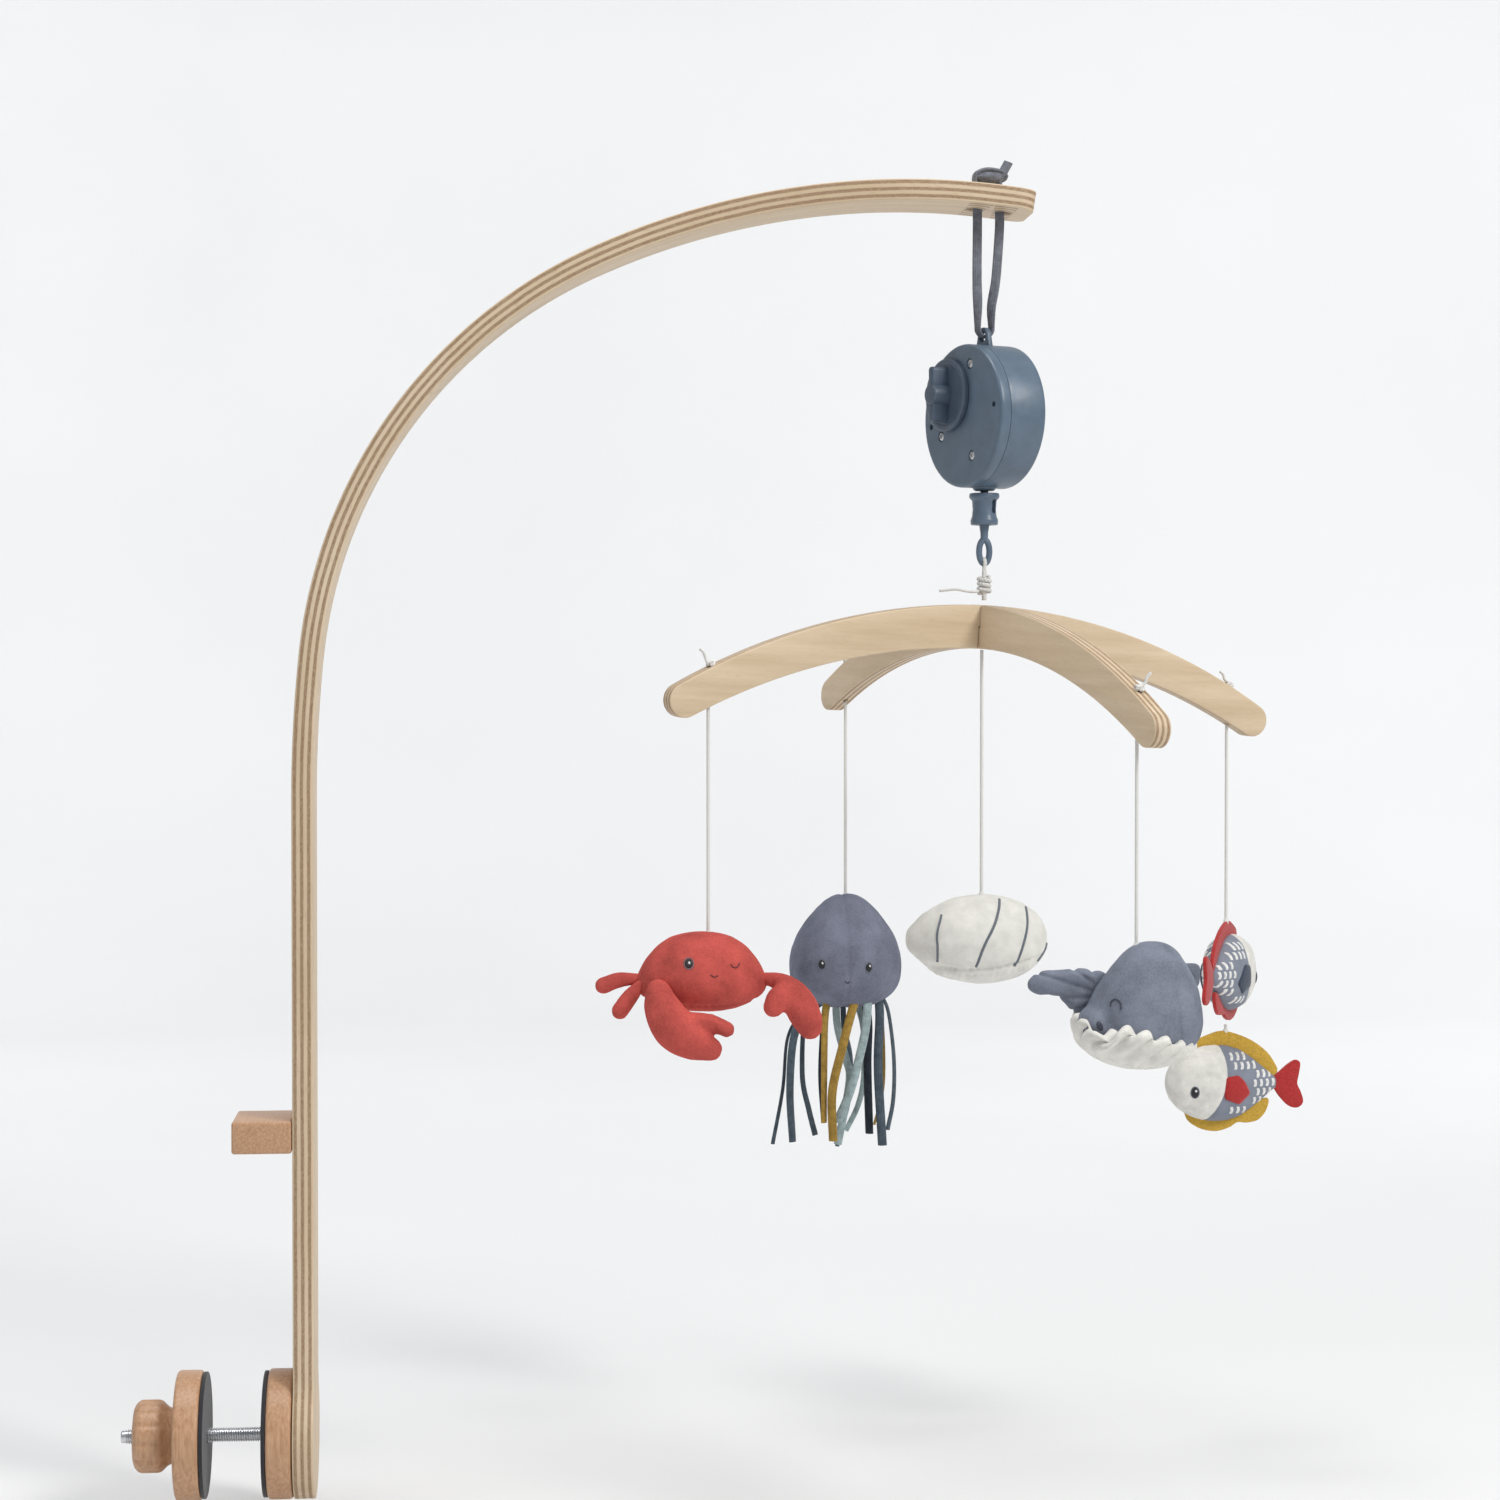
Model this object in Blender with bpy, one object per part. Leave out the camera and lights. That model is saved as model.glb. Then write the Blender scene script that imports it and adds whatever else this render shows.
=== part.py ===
"""Wooden crib mobile: a bent plywood mast with a rail clamp carries a wind-up music box and a turning
cross of two bars, from which soft sea-animal toys hang on strings.

Metres, +Z up. The origin is on the flat underside of the rail block, where it rests on the crib's top
rail. +X runs from the mast towards the arm's tip and -Y is the side that faces the room.
"""
import math

import bmesh
import bpy
from mathutils import Matrix, Vector

# ---------------------------------------------------------------- driving dimensions
MM = 0.001
GAP = 0.3 * MM  # clearance between neighbouring pieces

PLY_THICK = 11 * MM
MAST_WIDTH = 45 * MM
MAST_FACE_X = 16.2 * MM  # the mast's outer face, towards the crib rail
STRAIGHT_TOP_Z = 184.5 * MM
ARCH = ((738 * MM, 6.0), (266 * MM, 59.0), (412 * MM, 34.0))  # outer radius and degrees, foot to tip
ARCH_STEP = 3.0  # degrees between two sections of the arch
TIP_ROUND = 9 * MM
PADDLE_Z = -152 * MM
PADDLE_RADIUS = 34 * MM
PADDLE_FILLET = 20 * MM

BLOCK_LENGTH = 31.2 * MM
BLOCK_HEIGHT = 17 * MM
DOWEL_RADIUS = 4 * MM
DOWEL_LENGTH = 23 * MM
DOWEL_Y = 12 * MM

RAIL_GAP = 30 * MM  # distance between the two clamp pads at rest
PAD_THICK = 2 * MM
DISC_THICK = 13.4 * MM
DISC_RADIUS = 34 * MM
BOLT_RADIUS = 3.85 * MM
BOLT_HOLE = 4.2 * MM
BOLT_HEAD_RADIUS = 6.5 * MM
BOLT_HEAD = 5 * MM
BOLT_END_X = -75 * MM
KNOB_RADIUS = 19 * MM
KNOB_LENGTH = 22 * MM
INSERT_RADIUS = 6 * MM
INSERT_LENGTH = 12 * MM

AXIS_X = 385.5 * MM  # the vertical line that the box and the cross hang on
STRAP_RADIUS = 2 * MM
STRAP_HOLE_RADIUS = 4.7 * MM
STRAP_HOLES_X = (380 * MM, 395.5 * MM)
STRAP_TOPS_X = (381.5 * MM, 393.5 * MM)
STRAP_HINGE_Z = 503 * MM
KNOT_Z = 517 * MM

BOX_Z = 389.8 * MM
BOX_TURN = 203.4  # degrees from +X to the direction that the winder faces
BOX_RADIUS = 38.4 * MM
BOX_DEPTH = 28.7 * MM
BOX_WALL = 2 * MM
SEAM_DEPTH = 8 * MM  # the cover's seam, in front of the box's middle
LUG_HEIGHT = 43.1 * MM  # the lug's hole above the box's middle
LUG_THICK = 3 * MM
LUG_HOLE = 3.1 * MM
WINDER = Vector((-12.4, 12.0)) * MM  # the winder's axis on the box's face
DIAL_RADIUS = 19.7 * MM
BARREL_TEETH, DRIVE_TEETH = 32, 16
SCREWS = ((7.5 * MM, 27.2 * MM), (-20.9 * MM, -9.6 * MM), (9.5 * MM, -21.9 * MM))
SOUND_HOLES = ((31 * MM, 3.7 * MM), (-31 * MM, -3.7 * MM))

CUP_TOP_Z, CUP_BOTTOM_Z = 348.7 * MM, 331.6 * MM
EYE_TOP_Z, EYE_BOTTOM_Z = 325.4 * MM, 309.2 * MM
EYE_HALF_WIDTH = 4.7 * MM
EYE_WIRE = 1.5 * MM

CROSS_TURN = 19.7  # degrees from +X to the long bar's far end
CROSS_LEAN = (1.9, 2.76)  # degrees that each bar's far end hangs down
BAR_CENTRE_Z = 276.65 * MM
BAR_RADIUS = 360.5 * MM
BAR_END = 29.0  # degrees from a bar's middle to the centre of its round tip
BAR_THICK = 9.5 * MM
BAR_HALF_DEPTHS = (11.85 * MM, 9.0 * MM)  # at the middle and at the tips
STRING_PITCH = 160 * MM  # from the cross's middle to a toy's string
STRING_RADIUS = 1 * MM
STRING_HOLE = 1.6 * MM

CRAB_TOP_Z = 117 * MM
JELLYFISH_TOP_Z = 122.4 * MM
SHELL_TOP_Z = 132.4 * MM
WHALE_TOP_Z = 116.8 * MM
UPPER_FISH_TOP_Z = 112.8 * MM
LOWER_FISH_TOP_Z = 50.8 * MM
FISH_RADII = Vector((33.5, 13, 22.5)) * MM
BACK_FIN = 5.5 * MM  # how far each fin stands out of the seam, on top of its root
BELLY_FIN = 4.5 * MM
FIN_ROOT = 1.4 * MM
UPPER_FISH_TURN = 60.0  # degrees from +X to the way that each fish looks
LOWER_FISH_TURN = 180.0
FIN_THICK = 2.4 * MM
RIBBON_RADIUS = 2.2 * MM

# ---------------------------------------------------------------- colours
FINISHES = {
    "birch_ply": ((0.72, 0.55, 0.36), 0.5, 0.0),
    "beech": ((0.55, 0.30, 0.17), 0.5, 0.0),
    "felt": ((0.05, 0.05, 0.055), 0.95, 0.0),
    "steel": ((0.55, 0.56, 0.58), 0.3, 1.0),
    "brass": ((0.75, 0.55, 0.25), 0.3, 1.0),
    "slate_plastic": ((0.09, 0.135, 0.19), 0.4, 0.0),
    "strap": ((0.13, 0.14, 0.17), 0.9, 0.0),
    "white_string": ((0.8, 0.79, 0.76), 0.9, 0.0),
    "coral": ((0.5, 0.075, 0.06), 0.9, 0.0),
    "blue_grey": ((0.16, 0.18, 0.25), 0.9, 0.0),
    "slate_ribbon": ((0.06, 0.085, 0.11), 0.9, 0.0),
    "mint": ((0.42, 0.52, 0.52), 0.9, 0.0),
    "mustard": ((0.45, 0.27, 0.06), 0.9, 0.0),
    "cream": ((0.78, 0.77, 0.72), 0.9, 0.0),
    "scale_grey": ((0.24, 0.26, 0.31), 0.9, 0.0),
    "red_felt": ((0.42, 0.04, 0.04), 0.9, 0.0),
}

for leftover in list(bpy.data.objects):
    bpy.data.objects.remove(leftover, do_unlink=True)

UP = Vector((0, 0, 1))
TOWARDS_TIP = Matrix.Rotation(math.radians(90), 4, "Y")  # turns local Z to +X
TOWARDS_RAIL = Matrix.Rotation(math.radians(-90), 4, "Y")  # turns local Z to -X


# ---------------------------------------------------------------- helpers
def finish(name):
    """The material of that name, made when it is first asked for."""
    if name in bpy.data.materials:
        return bpy.data.materials[name]
    colour, roughness, metallic = FINISHES[name]
    made = bpy.data.materials.new(name)
    made.use_nodes = True
    shader = made.node_tree.nodes["Principled BSDF"]
    shader.inputs["Base Color"].default_value = (*colour, 1)
    shader.inputs["Roughness"].default_value = roughness
    shader.inputs["Metallic"].default_value = metallic
    return made


def link(name, data, look, pivot=None):
    """An object for this mesh or curve, hung under an empty at its pivot when it moves."""
    piece = bpy.data.objects.new(name, data)
    bpy.context.scene.collection.objects.link(piece)
    if look:
        data.materials.append(finish(look))
    if pivot:
        piece.parent = pivot
        piece.matrix_parent_inverse = pivot.matrix_world.inverted()
    return piece


def pivot_at(name, place, parent=None):
    """An empty on a joint's axis, which the pieces that move about it hang under."""
    empty = bpy.data.objects.new(name, None)
    empty.empty_display_size = 10 * MM
    bpy.context.scene.collection.objects.link(empty)
    empty.matrix_world = Matrix.Translation(place)
    if parent:
        empty.parent = parent
        empty.matrix_parent_inverse = parent.matrix_world.inverted()
    bpy.context.view_layer.update()
    return empty


def solid(name, mesh_tool, look, place=None, pivot=None, smooth=35.0):
    """A closed body from a bmesh, moved to its place, with its faces pointing out."""
    if place is not None:
        mesh_tool.transform(place)
    bmesh.ops.recalc_face_normals(mesh_tool, faces=mesh_tool.faces)
    if mesh_tool.calc_volume(signed=True) < 0:
        bmesh.ops.reverse_faces(mesh_tool, faces=mesh_tool.faces)
    mesh = bpy.data.meshes.new(name)
    mesh_tool.to_mesh(mesh)
    mesh_tool.free()
    if smooth:
        mesh.shade_smooth()
        mesh.set_sharp_from_angle(angle=math.radians(smooth))
    return link(name, mesh, look, pivot)


def turned_mesh(profile, steps=32):
    """A profile of (radius, height) turned about local Z. It is a ring unless it starts and ends on the axis."""
    made = bmesh.new()
    rows = []
    for radius, height in profile:
        if radius < 1e-9:
            rows.append([made.verts.new((0, 0, height))])
            continue
        angles = [2 * math.pi * k / steps for k in range(steps)]
        rows.append([made.verts.new((radius * math.cos(a), radius * math.sin(a), height)) for a in angles])
    pairs = list(zip(rows, rows[1:]))
    if len(rows[0]) > 1:
        pairs.append((rows[-1], rows[0]))
    for low, high in pairs:
        for k in range(steps):
            after = (k + 1) % steps
            corners = [low[k % len(low)], low[after % len(low)], high[after % len(high)], high[k % len(high)]]
            kept = [v for i, v in enumerate(corners) if v not in corners[:i]]
            if len(kept) > 2:
                made.faces.new(kept)
    return made


def turned(name, profile, look, place, pivot=None, steps=32):
    return solid(name, turned_mesh(profile, steps), look, place, pivot)


def slab_mesh(outline, low, high):
    """An outline of (x, y) points, extruded along local Z."""
    made = bmesh.new()
    face = made.faces.new([made.verts.new((x, y, low)) for x, y in outline])
    top = bmesh.ops.extrude_face_region(made, geom=[face])
    moved = [v for v in top["geom"] if isinstance(v, bmesh.types.BMVert)]
    bmesh.ops.translate(made, verts=moved, vec=(0, 0, high - low))
    return made


def slab(name, outline, low, high, look, place, pivot=None):
    return solid(name, slab_mesh(outline, low, high), look, place, pivot)


def ellipsoid_mesh(centre, radii, turn=None, rings=10, steps=16):
    """A ball stretched to three radii and turned, built around its local X axis."""
    profile = [(math.sin(math.pi * k / rings), -math.cos(math.pi * k / rings)) for k in range(rings + 1)]
    profile[0] = (0, -1)
    profile[-1] = (0, 1)
    made = turned_mesh(profile, steps)
    made.transform(Matrix.Rotation(math.radians(90), 4, "Y"))
    made.transform(Matrix.Diagonal((*radii, 1)))
    if turn is not None:
        made.transform(turn)
    made.transform(Matrix.Translation(centre))
    return made


def ellipsoid(name, centre, radii, look, turn=None, pivot=None, rings=10, steps=16):
    return solid(name, ellipsoid_mesh(centre, radii, turn, rings, steps), look, pivot=pivot)


def combine(piece, tool, operation):
    """Cuts the tool from the piece or joins it on; the tool itself is only a guide."""
    tool.hide_render = True
    tool.display_type = "WIRE"
    modifier = piece.modifiers.new(f"{operation.lower()} {tool.name}", "BOOLEAN")
    modifier.operation = operation
    modifier.solver = "EXACT"
    modifier.object = tool
    return piece


def drill(piece, start, end, radius, steps=24):
    """A round hole through the piece, from one point to another."""
    along = Vector(end) - Vector(start)
    place = Matrix.Translation(start) @ along.to_track_quat("Z", "Y").to_matrix().to_4x4()
    profile = [(0, 0), (radius, 0), (radius, along.length), (0, along.length)]
    combine(piece, solid(f"{piece.name} drill", turned_mesh(profile, steps), None, place), "DIFFERENCE")


def smooth_route(points, spacing):
    """Points a set distance apart on a smooth curve through the route's own points."""
    knots = [Vector(p) for p in points]
    knots = [2 * knots[0] - knots[1], *knots, 2 * knots[-1] - knots[-2]]
    fine = []
    for p0, p1, p2, p3 in zip(knots, knots[1:], knots[2:], knots[3:]):
        for k in range(24):
            t = k / 24
            fine.append(
                0.5 * (2 * p1 + (p2 - p0) * t + (2 * p0 - 5 * p1 + 4 * p2 - p3) * t**2
                       + (3 * p1 - p0 - 3 * p2 + p3) * t**3)
            )
    fine.append(knots[-2])
    steps = [(b - a).length for a, b in zip(fine, fine[1:])]
    count = max(2, round(sum(steps) / spacing))
    route, travelled, index = [fine[0]], 0.0, 0
    for k in range(1, count):
        target = sum(steps) * k / count
        while travelled + steps[index] < target:
            travelled += steps[index]
            index += 1
        route.append(fine[index].lerp(fine[index + 1], (target - travelled) / steps[index]))
    return [*route, fine[-1]]


def cord(name, points, radius, look, pivot):
    """A round cord or wire along these points, with filled ends."""
    data = bpy.data.curves.new(name, "CURVE")
    data.dimensions = "3D"
    data.bevel_depth = radius
    data.bevel_resolution = 2
    data.use_fill_caps = True
    spline = data.splines.new("POLY")
    spline.points.add(len(points) - 1)
    for point, place in zip(spline.points, points):
        point.co = (*place, 1)
    return link(name, data, look, pivot)


def wire_mesh(points, radius, normal, closed=False, sides=10):
    """A round wire through points that lie in one plane with this normal."""
    made = bmesh.new()
    rows, count = [], len(points)
    for k, point in enumerate(points):
        before = points[k - 1] if k or closed else point
        after = points[(k + 1) % count] if k < count - 1 or closed else point
        side = (after - before).normalized().cross(normal)
        angles = [2 * math.pi * j / sides for j in range(sides)]
        rows.append([made.verts.new(point + (side * math.cos(a) + normal * math.sin(a)) * radius) for a in angles])
    for low, high in list(zip(rows, rows[1:])) + ([(rows[-1], rows[0])] if closed else []):
        for j in range(sides):
            made.faces.new((low[j], low[(j + 1) % sides], high[(j + 1) % sides], high[j]))
    if not closed:
        made.faces.new(rows[0])
        made.faces.new(rows[-1])
    return made


# ---------------------------------------------------------------- mast
def outer_edge(distance):
    """Place and heading (radians from +X) of the mast's outer edge, measured from the straight's top."""
    x, z, heading = MAST_FACE_X, STRAIGHT_TOP_Z, math.pi / 2
    if distance <= 0:
        return x, z + distance, heading
    for radius, degrees in ARCH:
        step = min(distance, radius * math.radians(degrees))
        centre_x, centre_z = x + radius * math.sin(heading), z - radius * math.cos(heading)
        heading -= step / radius
        x, z = centre_x - radius * math.sin(heading), centre_z + radius * math.cos(heading)
        distance -= step
        if distance < 1e-9:
            break
    return x, z, heading


def arch_length():
    return sum(radius * math.radians(degrees) for radius, degrees in ARCH)


def mast_sections():
    """(distance, half width) along the mast: round paddle, its fillet, the bent strip and its rounded tip."""
    half = MAST_WIDTH / 2
    fillet_y = half + PADDLE_FILLET
    fillet_z = math.sqrt((PADDLE_RADIUS + PADDLE_FILLET) ** 2 - fillet_y**2)
    meet = math.degrees(math.atan2(fillet_z, fillet_y))
    sections = []
    for k in range(13):
        a = math.radians(-84 + (meet + 84) * k / 12)
        sections.append((PADDLE_Z + PADDLE_RADIUS * math.sin(a), PADDLE_RADIUS * math.cos(a)))
    for k in range(1, 6):
        a = math.radians(meet * (1 - k / 5))
        sections.append((PADDLE_Z + fillet_z - PADDLE_FILLET * math.sin(a), fillet_y - PADDLE_FILLET * math.cos(a)))
    sections = [(z - STRAIGHT_TOP_Z, w) for z, w in sections]
    travelled = 0.0
    for radius, degrees in ARCH:
        count = round(degrees / ARCH_STEP)
        sections += [(travelled + radius * math.radians(degrees) * k / count, half) for k in range(count)]
        travelled += radius * math.radians(degrees)
    sections = [s for s in sections if s[0] < arch_length() - TIP_ROUND - 2 * MM]
    for k in range(6):
        a = math.radians(84 * k / 5)
        sections.append((arch_length() - TIP_ROUND * (1 - math.sin(a)), half - TIP_ROUND * (1 - math.cos(a))))
    return sections


def make_mast():
    made = bmesh.new()
    rows = []
    for distance, half in mast_sections():
        x, z, heading = outer_edge(distance)
        inner_x, inner_z = x + PLY_THICK * math.sin(heading), z - PLY_THICK * math.cos(heading)
        corners = ((x, -half, z), (inner_x, -half, inner_z), (inner_x, half, inner_z), (x, half, z))
        rows.append([made.verts.new(c) for c in corners])
    for low, high in zip(rows, rows[1:]):
        for k in range(4):
            made.faces.new((low[k], low[(k + 1) % 4], high[(k + 1) % 4], high[k]))
    made.faces.new(rows[0])
    made.faces.new(rows[-1])
    mast = solid("mast", made, "birch_ply")
    for x in STRAP_HOLES_X:
        drill(mast, (x, 0, STRAP_HINGE_Z - 30 * MM), (x, 0, STRAP_HINGE_Z + 30 * MM), STRAP_HOLE_RADIUS)
    for y in (-DOWEL_Y, DOWEL_Y):
        start = (MAST_FACE_X - 5 * MM, y, BLOCK_HEIGHT / 2)
        drill(mast, start, (MAST_FACE_X + 6.6 * MM, y, BLOCK_HEIGHT / 2), DOWEL_RADIUS + GAP, 16)
    start = (MAST_FACE_X - 5 * MM, 0, PADDLE_Z)
    drill(mast, start, (MAST_FACE_X + BOLT_HEAD + 2 * GAP, 0, PADDLE_Z), BOLT_HEAD_RADIUS + GAP)


# ---------------------------------------------------------------- rail block and clamp
def make_rail_block():
    block_end_x = MAST_FACE_X - GAP
    low_x, high_x, half = block_end_x - BLOCK_LENGTH, block_end_x, MAST_WIDTH / 2
    outline = ((low_x, -half), (high_x, -half), (high_x, half), (low_x, half))
    made = slab_mesh(outline, 0, BLOCK_HEIGHT)
    bmesh.ops.recalc_face_normals(made, faces=made.faces)
    bmesh.ops.bevel(made, geom=made.edges[:], offset=1.5 * MM, segments=2, affect="EDGES", profile=0.5)
    block = solid("rail_block", made, "beech")
    dowel_low_x = MAST_FACE_X + 6.3 * MM - DOWEL_LENGTH
    for side, y in (("front", -DOWEL_Y), ("back", DOWEL_Y)):
        centre_z = BLOCK_HEIGHT / 2
        drill(block, (dowel_low_x - GAP, y, centre_z), (high_x + 5 * MM, y, centre_z), DOWEL_RADIUS + GAP, 16)
        profile = [(0, 0), (DOWEL_RADIUS, 0), (DOWEL_RADIUS, DOWEL_LENGTH), (0, DOWEL_LENGTH)]
        place = Matrix.Translation((dowel_low_x, y, centre_z)) @ TOWARDS_TIP
        turned(f"block_dowel_{side}", profile, "beech", place, steps=16)


def washer_profile(hole, radius, thick, round_edge):
    """A flat disc with a hole and softened outer corners."""
    return [
        (hole, 0), (radius - round_edge, 0), (radius, round_edge), (radius, thick - round_edge),
        (radius - round_edge, thick), (hole, thick),
    ]


def make_clamp():
    def on_axis(x, turn):
        return Matrix.Translation((x, 0, PADDLE_Z)) @ turn

    disc = washer_profile(BOLT_HOLE, DISC_RADIUS, DISC_THICK, 1.5 * MM)
    pad = washer_profile(BOLT_HOLE, DISC_RADIUS - 1 * MM, PAD_THICK, 0.3 * MM)
    turned("inner_pad", pad, "felt", on_axis(0, TOWARDS_TIP), steps=28)
    turned("inner_disc", disc, "beech", on_axis(PAD_THICK + GAP, TOWARDS_TIP), steps=28)

    jaw = pivot_at("jaw slide", (-RAIL_GAP, 0, PADDLE_Z))
    turned("outer_pad", pad, "felt", on_axis(-RAIL_GAP, TOWARDS_RAIL), jaw, 28)
    disc_x = -RAIL_GAP - PAD_THICK - GAP
    turned("outer_disc", disc, "beech", on_axis(disc_x, TOWARDS_RAIL), jaw, 28)

    head_x = MAST_FACE_X + BOLT_HEAD + GAP
    length = head_x - BOLT_END_X
    bolt = [
        (0, 0), (BOLT_HEAD_RADIUS, 0), (BOLT_HEAD_RADIUS, BOLT_HEAD), (BOLT_RADIUS, BOLT_HEAD),
        (BOLT_RADIUS, length - 1 * MM), (BOLT_RADIUS - 1 * MM, length), (0, length),
    ]
    turned("clamp_bolt", bolt, "steel", on_axis(head_x, TOWARDS_RAIL), steps=24)

    knob_x = disc_x - DISC_THICK - GAP
    spin = pivot_at("knob spin", (knob_x, 0, PADDLE_Z), jaw)
    socket, socket_end = INSERT_RADIUS + GAP, INSERT_LENGTH + GAP
    knob = [
        (socket, 0), (KNOB_RADIUS - 5 * MM, 0), (KNOB_RADIUS - 4 * MM, 4 * MM), (KNOB_RADIUS, 8 * MM),
        (KNOB_RADIUS, KNOB_LENGTH - 3 * MM), (KNOB_RADIUS - 3 * MM, KNOB_LENGTH),
        (BOLT_HOLE, KNOB_LENGTH), (BOLT_HOLE, socket_end), (socket, socket_end),
    ]
    turned("clamp_knob", knob, "beech", on_axis(knob_x, TOWARDS_RAIL), spin, 24)
    insert = washer_profile(BOLT_RADIUS + GAP, INSERT_RADIUS, INSERT_LENGTH, 0.4 * MM)
    turned("knob_insert", insert, "brass", on_axis(knob_x, TOWARDS_RAIL), spin, 24)


# ---------------------------------------------------------------- strap
BOX_HEADING = math.radians(BOX_TURN)
WINDER_WAY = Vector((math.cos(BOX_HEADING), math.sin(BOX_HEADING), 0))
ACROSS = UP.cross(WINDER_WAY)
BOX_PLACE = Matrix.Translation((AXIS_X, 0, BOX_Z)) @ Matrix((ACROSS, UP, WINDER_WAY)).transposed().to_4x4()


def make_strap(hinge):
    lug_z = BOX_Z + LUG_HEIGHT
    bend = LUG_THICK / 2 + 3 * GAP + STRAP_RADIUS
    left, right = STRAP_TOPS_X
    top = STRAP_HINGE_Z - 0.6 * MM

    def leg(x, side):
        foot = Vector((AXIS_X, 0, lug_z + bend)) - WINDER_WAY * bend * side
        return [
            Vector((x, 0, top)), Vector((x, 0, top - 12 * MM)),
            Vector((x, 0, 0)).lerp(Vector((foot.x, foot.y, 0)), 0.55) + UP * (lug_z + 0.45 * (top - lug_z)),
            foot + UP * 12 * MM, foot + UP * 4 * MM,
        ]

    turn = []
    for k in range(9):
        a = math.pi * k / 8
        turn.append(Vector((AXIS_X, 0, lug_z + bend)) + WINDER_WAY * bend * math.cos(a) - UP * bend * math.sin(a))
    route = smooth_route(leg(left, -1)[:-1] + turn + leg(right, 1)[:-1][::-1], 4.5 * MM)
    cord("strap_loop", route, STRAP_RADIUS, "strap", hinge)

    middle = (left + right) / 2
    knot = ellipsoid("strap_knot", (middle + 2 * MM, 0, KNOT_Z), Vector((13, 7, 5)) * MM, "strap")
    for x in STRAP_TOPS_X:
        profile = [(0, 0), (STRAP_RADIUS, 0), (STRAP_RADIUS, 13.5 * MM), (0, 13.5 * MM)]
        place = Matrix.Translation((x, 0, STRAP_HINGE_Z + 0.6 * MM))
        combine(knot, solid(f"strap stub {x:.3f}", turned_mesh(profile, 12), None, place), "UNION")
    lean = Matrix.Rotation(math.radians(-35), 4, "Y")
    tail = ellipsoid_mesh((middle + 14 * MM, 0, KNOT_Z + 4.5 * MM), Vector((8, 3, 3)) * MM, lean, 8, 10)
    combine(knot, solid("strap tail", tail, None), "UNION")


# ---------------------------------------------------------------- music box
def gear_outline(teeth, centre_distance_share, centre_distance, turn=0.0):
    """A spur gear whose teeth are narrower than their gaps, so that the pair runs with backlash."""
    pitch_radius = centre_distance * centre_distance_share
    module = 2 * pitch_radius / teeth
    outline = []
    for k in range(teeth):
        middle = 2 * math.pi * k / teeth + turn
        for share, rise in ((-0.22, -1.15), (-0.11, 0.8), (0.11, 0.8), (0.22, -1.15)):
            a = middle + share * 2 * math.pi / teeth
            r = pitch_radius + rise * module
            outline.append((r * math.cos(a), r * math.sin(a)))
    return outline


def rectangle(low_x, low_y, high_x, high_y):
    return ((low_x, low_y), (high_x, low_y), (high_x, high_y), (low_x, high_y))


def in_box(x=0.0, y=0.0, z=0.0):
    """A place in the box: x across its face, y up, z towards the winder."""
    return BOX_PLACE @ Matrix.Translation((x, y, z))


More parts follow.
